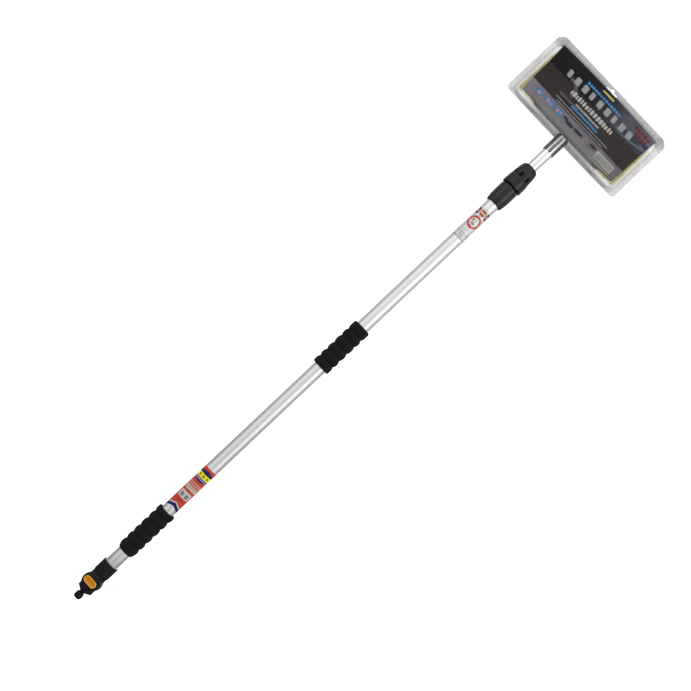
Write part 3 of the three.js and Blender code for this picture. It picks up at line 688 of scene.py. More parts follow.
def valve_knob():
    """The oval knob across the pole, with a shallow dish in its top, and its stem."""
    base = BOSS_TOP + 0.3
    top = base + 5
    long, wide = 28.4, 13.6
    skin = [
        (1.6, base), (0.6, base + 0.15), (0, base + 0.8), (0, top - 1.2), (0.3, top - 0.5),
        (1.0, top - 0.08), (1.7, top), (3.4, top), (4.0, top - 0.12), (4.7, top - 0.5),
        (6.2, top - 1.2), (8.6, top - 1.75), (11.4, top - 1.95), (13.8, top - 2.0)]
    rings = [stadium_ring(long - inset, wide - inset, z) for inset, z in skin]
    handle = loft("valve_knob_oval", rings, ORANGE)
    # Painted shade: the faces in the dish take the darker orange.
    handle.data.materials.append(ORANGE_DISH_PAINTED_SHADE)
    dish_ring = 8           # the first of the skin's rings that lies in the dish
    dish_start = dish_ring * len(rings[0])
    for face in handle.data.polygons:
        face.material_index = int(min(face.vertices) >= dish_start)
    stem = loft("stem", [
        ellipse_ring(VALVE_X, STEM_R, STEM_R, z, 32) for z in (BALL_ROOM_R, base + 1.2)], ORANGE)
    boolean(handle, stem, "UNION")
    smooth_again(handle)
    place_piece(handle, "valve_turn", "orange_plastic", "valve_knob")


def hose_nipple():
    """The nose with its O-ring groove and latch neck, the cone and the plug in the valve's barrel."""
    bore = 3
    profile = [
        (0, bore), (0, 4.8), (0.9, 6.4), (2.6, 7.5), (4.6, 8), (6.4, 8), (6.6, 6.6), (9.6, 6.6),
        (9.8, 8), (12.2, 7.9), (14.0, 6.9), (14.9, 4.9), (15.9, 4.9), (22.8, 15.9), (22.8, 9.5),
        (33, 9.5), (33, bore)]
    place_piece(turned("hose_nipple_skin", rounded(profile, 0.7, 4), BLACK),
                "outer_pole", "black_plastic", "hose_nipple")


def o_ring(node, body, x, r, thickness):
    ring = [(x + thickness / 2 * math.cos(a), r + thickness / 2 * math.sin(a)) for a in turns(16)]
    place_piece(turned(node + "_skin", ring, RUBBER, 64), body, "seal_rubber", node)


def sleeve():
    """The end sleeve over the tube's low end and the pale bush at its open end."""
    start, end = reach("end_sleeve")
    r = radius("end_sleeve")
    profile = rounded([
        (start, 12.6), (start, r - 0.3), (start + 0.6, r), (end - 1.2, r), (end - 0.2, r - 0.4),
        (end, r - 1.0), (end, 14.15), (66.3, 14.15), (66.3, 12.6)], 0.4)
    place_piece(turned("end_sleeve_skin", profile, BLACK), "outer_pole", "black_plastic", "end_sleeve")
    bush_start, bush_end = reach("sleeve_bush")
    bush = rounded([
        (bush_start, 14.1), (bush_start, 15.5), (bush_start + 0.4, 15.4), (bush_end - 0.4, 14.5),
        (bush_end, 14.1)], 0.2)
    place_piece(turned("sleeve_bush_skin", bush, CREAM), "outer_pole", "cream_plastic", "sleeve_bush")


# ---------------------------------------------------------------- foam grips
LOWER_GROOVES = (147.7, 165.2, 183.5, 203.0, 221.7)
MID_GROOVES = (652.7, 670.4, 689.6, 709.6, 726.7)
GRIP_BORE_R = 14.1
GROOVE_R = 16.2
LEAN_R = 14.9       # where the lower grip's first bump starts to rise from the tube


def grip(node, grooves, blunt_start):
    """A foam sleeve of rounded bumps between ring grooves, pressed a little out of round."""
    start, end = reach(node)
    peak, valley = radius(node) + 0.15, GROOVE_R
    steps = 16
    marks = (start,) + grooves + (end,)
    crest = []
    for bump, (low, high) in enumerate(zip(marks, marks[1:])):
        for k in range(steps):
            along = (k + 0.5) / steps
            r = valley + (peak - valley) * min(1.0, 1.03 * math.sin(math.pi * along) ** 0.6)
            if bump == 0 and along < 0.5:
                if blunt_start:
                    r = peak - 1.1 * (1 - min(1, along / 0.25)) ** 2
                else:
                    r = min(r, LEAN_R + (peak - LEAN_R) * math.sqrt(min(1, along * 1.8)))
            if bump == len(grooves) and along > 0.6:
                r = peak - 1.1 * (1 - min(1, (1 - along) / 0.25)) ** 2
            crest.append((low + (high - low) * along, r))
    first = peak - 1.6 if blunt_start else 15.0
    profile = [(end, GRIP_BORE_R), (start, GRIP_BORE_R), (start, first)] + crest + [(end, peak - 1.8)]
    seed = random.Random(len(node))
    phases = [seed.uniform(0, 6.28) for _ in range(4)]

    def uneven(x, r, angle):
        if r < GRIP_BORE_R + 0.4:
            return r
        wave = math.sin(2 * angle + phases[0] + x * 0.11) + math.sin(3 * angle + phases[1] - x * 0.23)
        fine = math.sin(17 * angle + phases[2] + x * 1.9) * math.sin(11 * angle + phases[3] - x * 2.7)
        return r + 0.07 * wave + 0.035 * fine
    piece = turned(node + "_foam", profile, FOAM, 144, uneven, math.radians(50))
    place_piece(piece, "outer_pole", "foam", node)


# ---------------------------------------------------------------- twist lock
def collar():
    """The lock's body: a barrel that swells towards the nut, with its thread beyond."""
    start, thread_end = reach("collar_body")
    low = reach("twist_nut")[0]
    shoulder = low - 0.8
    full = radius("collar_body")
    tube_r, thread_r, seat_r, bore_r = 14.15, 15.2, 13.4, 12
    tube_stop = 1128.3
    swell = 2.3             # how far the barrel widens from its tube end
    barrel = []
    for k in range(1, 18):
        rise = math.sin(0.5 * math.pi * min(1, k / 9))
        barrel.append((start + (shoulder - start) * k / 20, full - swell + swell * rise))
    profile = [(start, tube_r), (start, full - 2.9), (start + 1.0, full - swell)] + barrel + [
        (shoulder - 3, full - 0.3), (shoulder - 1.2, full - 1.0), (shoulder, full - 1.8),
        (shoulder, thread_r), (thread_end, thread_r), (thread_end, seat_r), (low + 1, seat_r),
        (low + 1, bore_r), (tube_stop, bore_r), (tube_stop, tube_r)]

    def lobed(x, r, angle):
        """Four shallow flats that fade towards the tube end."""
        if r < 16 or x > shoulder - 1:
            return r
        fade = math.sin(math.pi * min(1, max(0, (x - start) / (shoulder - start)))) ** 0.8
        return r - 0.45 * fade * max(0.0, math.cos(4 * (angle - 0.5))) ** 3
    place_piece(turned("collar_body_skin", rounded(profile, 0.5, 2), CHARCOAL, 144, lobed),
                "outer_pole", "grey_plastic", "collar_body")


def twist_nut():
    """The lock's nut: a plain ring, then a tapered grip with finger pockets."""
    low, high = reach("twist_nut")
    ring_end = low + 23.5
    ring_r = radius("twist_nut")
    shell = [
        (low, 15.6), (low, ring_r - 1.2), (low + 0.3, ring_r - 0.4), (low + 0.9, ring_r),
        (low + 4, ring_r - 0.1), (ring_end - 8, ring_r - 0.6), (ring_end - 2, ring_r - 0.9),
        (ring_end - 0.5, ring_r - 1.1), (ring_end - 0.1, ring_r - 1.7)]
    span = high - ring_end
    for k in range(25):
        s = k / 24
        shell.append((ring_end + 0.2 + (span - 0.9) * s, 20.7 - 2.2 * s - 3.4 * s ** 7))
    shell += [(high - 0.2, 14.2), (high, 13.2), (high, 12.1), (high - 12, 12.1), (high - 24, 14.2),
              (high - 33, 15.6)]
    pockets = 7

    def fluted(x, r, angle):
        """Finger pockets just past the ring that run out as shallow flutes."""
        if r < 16 or x < ring_end + 0.3:
            return r
        along = (x - ring_end) / (high - ring_end)
        depth = 2.7 * min(1, max(0, (0.34 - along) / 0.12)) + 1.0 * max(0.0, 1 - along) ** 0.6
        shape = math.cos(pockets / 2 * (angle - math.radians(15))) ** 2
        groove = max(0.0, (shape - 0.68) / 0.32)
        return r - depth * min(1.0, groove * 2.4)
    nut = turned("twist_nut_skin", rounded(shell, 0.3, 1), NUT_PLASTIC, 192, fluted, math.radians(40))
    # Painted shade: the sunk faces of the finger pockets take the darker plastic.
    nut.data.materials.append(POCKET_PAINTED_SHADE)
    pocket_end = ring_end + 0.33 * (high - ring_end)
    for face in nut.data.polygons:
        place = face.center - at(0)
        face_r = math.hypot(place.y, place.z) / MM
        sunk = 15.9 < face_r < 18.6         # below the grip's skin, above the nut's bore
        if ring_end + 0.2 < place.x / MM < pocket_end and sunk:
            face.material_index = 1
    place_piece(nut, "lock_nut", "grey_plastic", "twist_nut")


# ---------------------------------------------------------------- printing
PRINT_LIFT = 0.035      # how far each layer of print stands off the one below, in millimetres
INK_SHEET = 0.02


def printed(name, shapes, place, material, layer, cuts):
    """Thin ink sheets: each shape is an outline of (u, v) points that place(u, v, lift) lays down.

    cuts says how often the sheets are creased along v, so that they follow a bent surface.
    """
    work = bmesh.new()
    for outline in shapes:
        work.faces.new([work.verts.new((u, v, 0)) for u, v in outline])
    for v in cuts:
        every = work.verts[:] + work.edges[:] + work.faces[:]
        bmesh.ops.bisect_plane(work, geom=every, dist=1e-6, plane_co=(0, v, 0), plane_no=(0, 1, 0))
    lift = PRINT_LIFT * layer
    for vertex in work.verts:
        vertex.co = place(vertex.co.x, vertex.co.y, lift)
    bmesh.ops.recalc_face_normals(work, faces=work.faces)
    mesh = bpy.data.meshes.new(name)
    work.to_mesh(mesh)
    work.free()
    mesh.materials.append(material)
    made = bpy.data.objects.new(name, mesh)
    bpy.context.scene.collection.objects.link(made)
    skin = made.modifiers.new("thickness", "SOLIDIFY")
    skin.thickness = INK_SHEET * MM
    skin.offset = 0
    apply_modifiers(made)
    smooth_again(made, math.radians(30))
    return made


def print_layers(layers, place, cuts, body, slot, node=None):
    """Prints each (name, shapes, ink, layer). The first stands for the CAD node, if one is given."""
    for name, shapes, material, layer in layers:
        piece = printed(name, shapes, place, material, layer, cuts)
        stands_for = [node] if node and name == layers[0][0] else []
        place_piece(piece, body, slot, *stands_for)


def oblong(u0, u1, v0, v1, corner=0.0):
    """A rectangle's outline, with cut corners if wanted."""
    c = corner
    if not c:
        return [(u0, v0), (u1, v0), (u1, v1), (u0, v1)]
    return [(u0 + c, v0), (u1 - c, v0), (u1, v0 + c), (u1, v1 - c),
            (u1 - c, v1), (u0 + c, v1), (u0, v1 - c), (u0, v0 + c)]


def oval(u, v, ru, rv, sides=40):
    angles = [math.radians(360.0 * k / sides) for k in range(sides)]
    return [(u + ru * math.cos(a), v + rv * math.sin(a)) for a in angles]


def band(u, v, outer, inner, start, sweep, sides=14):
    """Part of a flat ring."""
    angles = [math.radians(start + sweep * k / sides) for k in range(sides + 1)]
    out = [(u + outer * math.cos(a), v + outer * math.sin(a)) for a in angles]
    back = [(u + inner * math.cos(a), v + inner * math.sin(a)) for a in reversed(angles)]
    return out + back


def on_tube(x, arc, lift):
    """A place on the outer tube: arc is millimetres round it from the top, +Y way positive."""
    r = OUTER_R + 0.02 + lift
    angle = arc / OUTER_R
    return at(x, r * math.sin(angle), r * math.cos(angle))


TUBE_CUTS = [1.4 * k for k in range(-30, 31)]    # creases round the tube


def lower_label():
    """Red label: navy chevron, pale panel, rows of pale marks, navy oval crossed by yellow."""
    end = reach("lower_label")[1] + 0.6
    wrap = 38.0
    side = 21.0          # how far the slanting edges reach round the tube

    def slanted(edge_x, middle_x, thick_edge, thick_middle):
        """A chevron pointing to the head."""
        return [(edge_x, -side), (edge_x + thick_edge, -side), (middle_x + thick_middle, 0),
                (edge_x + thick_edge, side), (edge_x, side), (middle_x, 0)]

    def notched(edge_x, middle_x, finish):
        return [(edge_x, -wrap), (finish, -wrap), (finish, wrap), (edge_x, wrap), (edge_x, side),
                (middle_x, 0), (edge_x, -side)]
    seed = random.Random(5)
    blocks, cuts = [], []
    for k in range(6):
        v = -14.8 + 5.0 * k
        blocks.append(oblong(294.6 + seed.uniform(0, 1.4), 305.2, v, v + 4.0, 0.9))
        x = seed.choice((297.2, 299.4, 301.2))
        cuts.append(oblong(x, x + 2.2, v + 1.2, v + 2.7, 0.3))
    dashes = []
    for u0, u1 in ((307.4, 309.4), (311.8, 313.6)):
        v = -16.0
        while v < 15:
            length = seed.uniform(1.4, 3.6)
            dashes.append(oblong(u0, u1, v, v + length))
            v += length + seed.uniform(0.7, 1.3)
    blobs = [oval(332.8, v, 2.6, 2.0, 18) for v in (-9.4, 0.2, 10.0)]
    parts = [
        ("label_edge", [notched(252.6, 261.6, end)], WHITE, 1),
        ("label_red_field", [notched(254.6, 263.7, end - 0.7)], RED, 2),
        ("label_navy", [slanted(245.2, 254.0, 6.2, 7.0), oval(332.7, 0, 13.2, 21.5)], NAVY, 3),
        ("label_bar", [oblong(268.6, 272.0, -8, 8, 0.8)], BRICK, 3),
        ("label_panel", [oblong(275.6, 290.6, -13.6, 13.4, 1.8)], WHITE, 3),
        ("label_pictograms",
         [oblong(278.0, 286.2, 2.2, 9.2, 1.6), oblong(278.0, 286.2, -9.4, -2.4, 1.6)], GREY, 4),
        ("label_pictogram_marks",
         [oval(282, 5.7, 1.3, 1.3, 20), oblong(280.8, 283.6, -6.8, -5.0, 0.4)], PALE_GREY, 5),
        ("label_lavender",
         [[(323.2, -15.0), (326.4, -17.3), (326.4, 17.3), (323.2, 15.0)]], LAVENDER, 4),
        ("label_yellow", [oblong(327.6, 337.6, -20.5, 20.5)], YELLOW, 4),
        ("label_blocks", blocks, WHITE, 3),
        ("label_dashes", dashes, WHITE, 3),
        ("label_band_marks", blobs, UMBER, 5),
        ("label_block_cuts", cuts, RED, 4),
    ]
    print_layers(parts, on_tube, TUBE_CUTS, "outer_pole", "lower_label", "lower_label")


def upper_label():
    """See-through film: a ring of red pieces, a pale oval between dark corners, rows of grey dashes."""
    start, end = reach("upper_label")
    ring_x = 1041.6
    seed = random.Random(11)
    ring = []
    for a in range(0, 360, 30):
        inner = 9.4 + seed.uniform(0, 0.8)
        outer = 14.6 - seed.uniform(0, 0.5)
        ring.append(band(ring_x, 0, outer, inner, a, 26 + seed.uniform(0, 3), 5))
    marks = []
    for column, low, high in ((999.4, -17.0, 15.0), (1005.0, -7.4, 6.0), (1010.4, -8.0, 6.4)):
        v = low
        while v < high:
            length = seed.uniform(1.4, 3.2)
            marks.append(oblong(column, column + seed.uniform(2.0, 3.0), v, v + length))
            v += length + seed.uniform(0.5, 0.9)
    dark = [oblong(999.0, 1002.6, v, v + 3.4, 0.8) for v in (-18.4, 14.0)]
    corners, peaks, sides = [], [], []
    for side in (-1, 1):
        v0, v1 = sorted((side * 9.4, side * 14.6))
        corners += [oblong(u, u + 5.2, v0, v1, 0.7) for u in (1057.6, 1068.0)]
        peaks.append([(1061.0, side * 8.4), (1065.6, side * 14.0), (1070.0, side * 8.4)])
        sides.append([(1006.5, side * 15.6), (1012.0, side * 11.4), (1017.5, side * 15.6)])
    bars = [oblong(u, u + 4.2, -5.4, 5.2, 1.2) for u in (1059.8, 1067.4)]
    oval_ground = [oval(1065.6, 0, 7.6, 9.2, 30)]
    parts = [
        ("upper_film", [oblong(start, end, -33, 33, 2)], FILM, 1),
        ("upper_ring", ring, RED, 2),
        ("upper_text_marks", marks, MID_GREY, 2),
        ("upper_dark_marks", dark, GREY, 3),
        ("upper_corners", corners, BLACK_INK, 2),
        ("upper_oval", oval_ground, WHITE, 2),
        ("upper_bars", bars, RED, 4),
        ("upper_peaks", peaks + sides, ROSE, 3),
        ("upper_ring_grey", [oval(ring_x - 4.0, 0.4, 3.0, 4.4, 24)], MID_GREY, 2),
        ("upper_ring_dot", [oval(ring_x + 3.4, 4.6, 3.0, 2.0, 24),
                            oblong(ring_x + 1.4, ring_x + 6.4, -3.6, -2.4)], RED, 3),
    ]
    print_layers(parts, on_tube, TUBE_CUTS, "outer_pole", "upper_label", "upper_label")


# ---------------------------------------------------------------- wires and filaments
def sweep(points, thickness, sides, vertices, faces, taper=1.0):
    """Adds a round wire along the points, closed at both ends, to the two lists."""
    start = len(vertices)
    side = None
    last = len(points) - 1
    for i, point in enumerate(points):
        ahead = (points[min(i + 1, last)] - points[max(i - 1, 0)]).normalized()
        if side is None:
            side = ahead.orthogonal().normalized()
        side = (side - ahead * side.dot(ahead)).normalized()
        other = ahead.cross(side)
        r = thickness / 2 * (1 + (taper - 1) * i / last)
        for angle in turns(sides):
            vertices.append(point + side * (r * math.cos(angle)) + other * (r * math.sin(angle)))
    for i in range(last):
        for k in range(sides):
            n = (k + 1) % sides
            a = start + i * sides
            b = a + sides
            faces.append((a + k, b + k, b + n, a + n))
    faces.append(tuple(start + k for k in range(sides)))
    faces.append(tuple(start + last * sides + k for k in reversed(range(sides))))


def bent(corners, corner_size, steps=4):
    """The polyline with each inner corner replaced by a curve."""
    path = [corners[0]]
    for before, here, after in zip(corners, corners[1:], corners[2:]):
        cut_a = min(corner_size, (before - here).length * 0.5)
        cut_b = min(corner_size, (after - here).length * 0.5)
        start = here + (before - here).normalized() * cut_a
        end = here + (after - here).normalized() * cut_b
        for k in range(steps + 1):
            s = k / steps
            path.append(curved(start, here, end, s))
    path.append(corners[-1])
    return path


def staples():
    """A wire staple in each staple's CAD box, its legs folded in behind the flange."""
    wire = 0.8
    leg, bend = 0.9, 0.55
    for node in [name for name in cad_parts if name.startswith("staple_")]:
        low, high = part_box(node)
        middle = (low + high) / 2
        along_x = (high.x - low.x) > (high.y - low.y)
        way = Vector((1, 0, 0)) if along_x else Vector((0, 1, 0))
        half = max(high.x - low.x, high.y - low.y) / 2 - wire * MM / 2
        top = Vector((0, 0, high.z - middle.z - wire * MM / 2))
        fold = way * (leg * MM)
        corners = [middle - top - fold, middle - top - way * half, middle + top - way * half,
                   middle + top + way * half, middle - top + way * half, middle - top + fold]
        vertices, faces = [], []
        sweep(bent(corners, bend * MM), wire * 0.92 * MM, 12, vertices, faces)
        piece = make_object(node + "_wire", vertices, faces, WIRE)
        place_piece(piece, "inner_pole", "steel_wire", node)


# ---------------------------------------------------------------- folded card
CARD_FOLDS = [      # place along the pole, height over the axis, half width
    (1288, 13, 123.7), (1315, 26, 125.2), (1357, 34, 125.4), (1397.2, 38, 128)]
HEIGHT, HALF_WIDTH = 1, 2
CARD_BOW = 2.5      # how far the middle of the far edge bows out
CARD_SHEET = 0.45


def fold_value(x, column):
    """HEIGHT or HALF_WIDTH of the card at x, between its folds."""
    for a, b in zip(CARD_FOLDS, CARD_FOLDS[1:]):
        if x <= b[0] or b is CARD_FOLDS[-1]:
            share = max(0.0, min(1.0, (x - a[0]) / (b[0] - a[0])))
            return a[column] + (b[column] - a[column]) * share


def on_card(x, y, lift):
    """A place on the card's upper face."""
    far, second = CARD_FOLDS[-1][0], CARD_FOLDS[-2][0]
    half = fold_value(x, HALF_WIDTH)
    bow = CARD_BOW * max(0.0, (x - second) / (far - second)) * (1 - (y / half) ** 2)
    return at(x + bow, y, fold_value(x, HEIGHT) + 0.02 + lift)


def card_paint(name, stops):
    """Printed card: colour along the pack's width, with cloudy artwork tones and a glossy coat."""
    paint = Paint(name, roughness=0.34)
    paint.set("Specular IOR Level", 0.1)
    cloud = paint.noise(38, 4)
    wide = paint.along("Y", -0.128, 0.128)
    base = paint.ramp(wide, stops)
    shade = paint.ramp(cloud, [(0.3, grey(0.82)), (0.7, grey(1.12))])
    paint.drive("Base Color", paint.mix(1.0, base, shade, "MULTIPLY"))
    paint.drive("Roughness", paint.between(cloud, 0.3, 0.42))
    paint.bump(cloud, 0.25, 0.3)
    return paint.material


def card():
    """The folded card as a closed sheet: top, underside and edges; each panel has its own artwork."""
    rows, steps = [], 10
    for a, b in zip(CARD_FOLDS, CARD_FOLDS[1:]):
        rows += [a[0] + (b[0] - a[0]) * k / steps for k in range(steps)]
    rows.append(CARD_FOLDS[-1][0])
    columns = 60
    vertices, faces = [], []
    for under in (0, 1):
        for x in rows:
            half = fold_value(x, HALF_WIDTH)
            for k in range(columns + 1):
                y = half * (2 * k / columns - 1)
                vertices.append(on_card(x, y, 0) - Vector((0, 0, CARD_SHEET * MM * under)))
    width = columns + 1
    layer = len(rows) * width
    for i in range(len(rows) - 1):
        for k in range(columns):
            a = i * width + k
            faces.append((a, a + 1, a + width + 1, a + width))
            faces.append((layer + a, layer + a + width, layer + a + width + 1, layer + a + 1))
    for i in range(len(rows) - 1):
        for a in (i * width, i * width + columns):
            faces.append((a, a + width, layer + a + width, layer + a))
    for k in range(columns):
        for a in (k, (len(rows) - 1) * width + k):
            faces.append((a, a + 1, layer + a + 1, layer + a))
    middle = card_paint("card_middle", [
        (0.0, rgb(58, 53, 52)), (0.5, rgb(54, 49, 48)), (1.0, rgb(52, 47, 46))])
    near = card_paint("card_near", [
        (0.0, rgb(118, 112, 118)), (0.5, rgb(128, 122, 128)), (1.0, rgb(136, 130, 138))])
    far = card_paint("card_far", [
        (0.0, rgb(98, 98, 108)), (0.22, rgb(84, 84, 95)), (0.42, rgb(48, 46, 51)),
        (0.58, rgb(20, 17, 18)), (1.0, rgb(12, 9, 9))])
    piece = make_object("card_sheet", vertices, faces, middle, math.radians(12))
    piece.data.materials.append(near)
    piece.data.materials.append(far)
    folds = [at(x).x for x, _, _ in CARD_FOLDS]
    for face in piece.data.polygons:
        if face.center.x < folds[1]:
            face.material_index = 1
        elif face.center.x > folds[2]:
            face.material_index = 2
    place_piece(piece, "inner_pole", "card", "insert_card")


CARD_CUTS_X = (         # creases at the folds and between them
    [1288 + 2.7 * k for k in range(1, 10)] + [1315, 1357] + [1321 + 6 * k for k in range(6)]
    + [1361 + 4 * k for k in range(9)])


def on_card_along(u, v, lift):
    """For printed(): u runs across the card, v along the pole."""
    return on_card(v, u, lift)


def block_row(seed, x0, x1, y0, y1, sizes, gaps, corner=0.0, lean=0.0):
    """A row of small blocks across the card, of mixed widths, standing in for a line of print."""
    shapes = []
    y = y0
    least = sizes[0] * 0.6
    while y < y1 - least:
        size = min(seed.uniform(*sizes), y1 - y)
        trim = seed.choice((0.0, 0.0, 0.16)) * (x1 - x0)
        outline = oblong(y, y + size, x0, x1 - trim, corner)
        shapes.append([(u + lean * (v - x0), v) for u, v in outline])
        y += size + seed.uniform(*gaps)
    return shapes


def card_print():
    """The card's art as plain blocks, bars and ovals, where the photo's card has print, and a painted
    highlight on its middle panel.
    """
    seed = random.Random(21)
    pale = ink("card_pale_ink", rgb(150, 153, 155))
    # A paler ink for the painted highlight on the middle panel.
    haze = ink("card_painted_highlight_ink", rgb(84, 80, 79))
    dusk = ink("card_dusk_ink", rgb(46, 54, 70))
    glow = ink("card_glow_ink", rgb(86, 98, 106))
    shade = ink("card_shade_ink", rgb(58, 54, 66))
    bar_ink = ink("card_bar_ink", rgb(104, 98, 112))
    large = []
    for k in range(9):
        y = 84 - 20.2 * k
        width = 12.2 if k % 3 else 9.6
        block = oblong(y - width, y, 1361.6, 1375.4, 1.8)
        large.append([(u + 0.12 * (v - 1361.6), v) for u, v in block])
    bold = block_row(seed, 1343.4, 1352.8, -57, 57, (3.4, 6.8), (1.5, 2.6), 1.3)
    script = []
    for k in range(13):
        y = 42 - 6.9 * k
        script.append(oval(y, 1380.6, 2.5, seed.uniform(2.0, 3.2), 16))
        script.append(oblong(y - 6.2, y - 2.0, 1379.6, 1381.0, 0.4))
    small_white = block_row(seed, 1335.2, 1338.8, -32, 30, (2.0, 4.2), (0.8, 1.5), 0.4)
    blue_row = block_row(seed, 1327.6, 1332.0, -37, 34, (2.2, 5.2), (0.8, 1.4), 0.5)
    thin_rows = block_row(seed, 1322.2, 1324.0, -71, 69, (3.0, 9.0), (0.8, 1.6))
    thin_rows += block_row(seed, 1317.0, 1318.6, -64, 62, (3.0, 9.0), (0.8, 1.6))
    red_marks = block_row(seed, 1385.0, 1391.0, -120, -76, (5.0, 8.0), (1.4, 2.2), 0.8, 0.25)
    red_marks += block_row(seed, 1376.0, 1382.4, -118, -86, (5.0, 7.0), (1.6, 2.4), 0.8, 0.25)
    squares = [oblong(y0, y1, 1301.6, 1310.6, 0.5) for y0, y1 in ((88, 104), (58, 80), (33, 52))]
    blots = [oval(y, x, ry, rx, 14) for y, x, ry, rx in (
        (96, 1305, 5, 2.6), (73, 1306, 4, 3), (64, 1305, 3, 2.4), (46, 1306, 3, 3),
        (38, 1306.5, 2.6, 2.2))]
    emblem = [band(-33.4, 1303.8, 5.3, 4.3, a, 90, 10) for a in range(0, 360, 90)]
    panel = [oblong(-110, -63.5, 1295, 1309.4, 0.6)]
    bars = [oblong(-107 + 3.1 * k, -105.7 + 3.1 * k, 1297.6, 1306.6) for k in range(13)]
    yellow_line = block_row(seed, 1290.6, 1292.0, -109, -59, (1.4, 3.6), (0.6, 1.0))
    badge = [oval(-1.6, 1390.2, 20.5, 4.3, 40)]
    badge_bar = block_row(seed, 1388.6, 1391.8, -15.5, 14.0, (3.0, 4.4), (0.8, 1.2), 0.4)
    # Painted highlight: a faint lighter arc and bar on the middle panel.
    painted_highlight_arc = [band(66, 1345, 22, 15, 70, 130, 20), oblong(20, 70, 1330.2, 1334.5, 2)]
    shares = [k / 12 for k in range(13)]
    sweep_arc = [(-58 - 66 * s, 1358.4 + 7.5 * s * s) for s in shares]
    sweep_arc += [(-58 - 66 * s, 1360.4 + 12.0 * s * s) for s in (1 - share for share in shares)]
    glints = [sweep_arc, oval(-57, 1362.4, 4.8, 1.8, 18),
              [(-108, 1370), (-114, 1367.4), (-122, 1370), (-114, 1372.6)],
              oval(-6, 1360.4, 2.4, 1.6, 12)]
    ground = [[(-45, 1357.4), (-125.4, 1357.4), (-126.6, 1379.4), (-96, 1377.6), (-62, 1369.6)]]
    patches = [oval(y, x, ry, rx, 24) for y, x, ry, rx in (
        (11, 1304, 10, 3.4), (-12, 1305, 12, 2.8), (-52, 1307, 8, 2.6), (24, 1307, 6, 2.4))]
    edge_band = [oblong(-122.5, 122.5, 1288.3, 1289.4)]
    layers = [
        ("card_painted_highlight", painted_highlight_arc, haze, 1), ("card_ground", ground, dusk, 1),
        ("card_patches", patches, shade, 1), ("card_edge_band", edge_band, shade, 1),
        ("card_glints", glints, glow, 2),
        ("card_large_blocks", large, pale, 3), ("card_bold_blocks", bold, WHITE, 2),
        ("card_script", script, SKY, 2), ("card_small_blocks", small_white, WHITE, 2),
        ("card_blue_blocks", blue_row, SKY, 2), ("card_thin_rows", thin_rows, pale, 2),
        ("card_red_blocks", red_marks, MAROON, 2), ("card_squares", squares, SKY, 2),
        ("card_square_marks", blots, PINK, 3), ("card_emblem", emblem, PINK, 2),
        ("card_panel", panel, WHITE, 2), ("card_bars", bars, bar_ink, 3),
        ("card_yellow_line", yellow_line, YELLOW, 2), ("card_badge", badge, NAVY, 2),
        ("card_badge_bar", badge_bar, YELLOW, 3)]
    print_layers(layers, on_card_along, CARD_CUTS_X, "inner_pole", "card")


# ---------------------------------------------------------------- clear pack
PACK_SHEET = 0.6
FLANGE_GAP = 0.2
# Outlines in plan: near end, far end, half width, corner radius near and far.
FLANGE_PLAN = (1272, 1425, 150, 8, 18)
LIP_PLAN = (1273.2, 1423.8, 148.8, 7, 17)
DOME_PLAN = (1280, 1409, 139, 10, 18)
FOOT_PLAN = (1280.5, 1408.6, 138.5, 10, 18)
NECK_BORE_R, NECK_R = 12.85, 13.4


def plan_ring(near, far, half, near_r, far_r, z, side_points=26, corner_points=12):
    """A ring round the head: straight sides with round corners; z may be a function of x and y."""
    corners = [
        (far - far_r, -(half - far_r), far_r, -90), (far - far_r, half - far_r, far_r, 0),
        (near + near_r, half - near_r, near_r, 90), (near + near_r, -(half - near_r), near_r, 180)]
    points = []
    for i, (cx, cy, r, start) in enumerate(corners):
        for k in range(corner_points):
            angle = math.radians(start + 90 * k / (corner_points - 1))
            points.append((cx + r * math.cos(angle), cy + r * math.sin(angle)))
        nx, ny, nr, nstart = corners[(i + 1) % 4]
        first = points[-1]
        last = (nx + nr * math.cos(math.radians(nstart)), ny + nr * math.sin(math.radians(nstart)))
        for k in range(1, side_points):
            s = k / side_points
            points.append((first[0] + (last[0] - first[0]) * s, first[1] + (last[1] - first[1]) * s))
    return [at(x, y, z(x, y) if callable(z) else z) for x, y in points]


def blend_rings(first, last, share):
    return [a.lerp(b, share) for a, b in zip(first, last)]


def roof(x, y=0.0):
    """Height of the front dome: it follows the folded card, with softened folds."""
    knots = [(1276, 10.6), (1285.6, 15.2), (1314.5, 28.2), (1357, 36.2), (1402.7, 40.2), (1412, 40.8)]
    top = 40.2

    def straight(at_x):
        for (xa, za), (xb, zb) in zip(knots, knots[1:]):
            if at_x <= xb:
                return za + (zb - za) * (at_x - xa) / (xb - xa)
        return knots[-1][1]
    soft = 3.0
    height = sum(straight(x + soft * k) for k in (-1, -0.5, 0, 0.5, 1)) / 5
    ripple = 0.18 * math.sin(y / 13.0) * math.sin((x - 1290) / 11.0)
    return min(height, top) + ripple


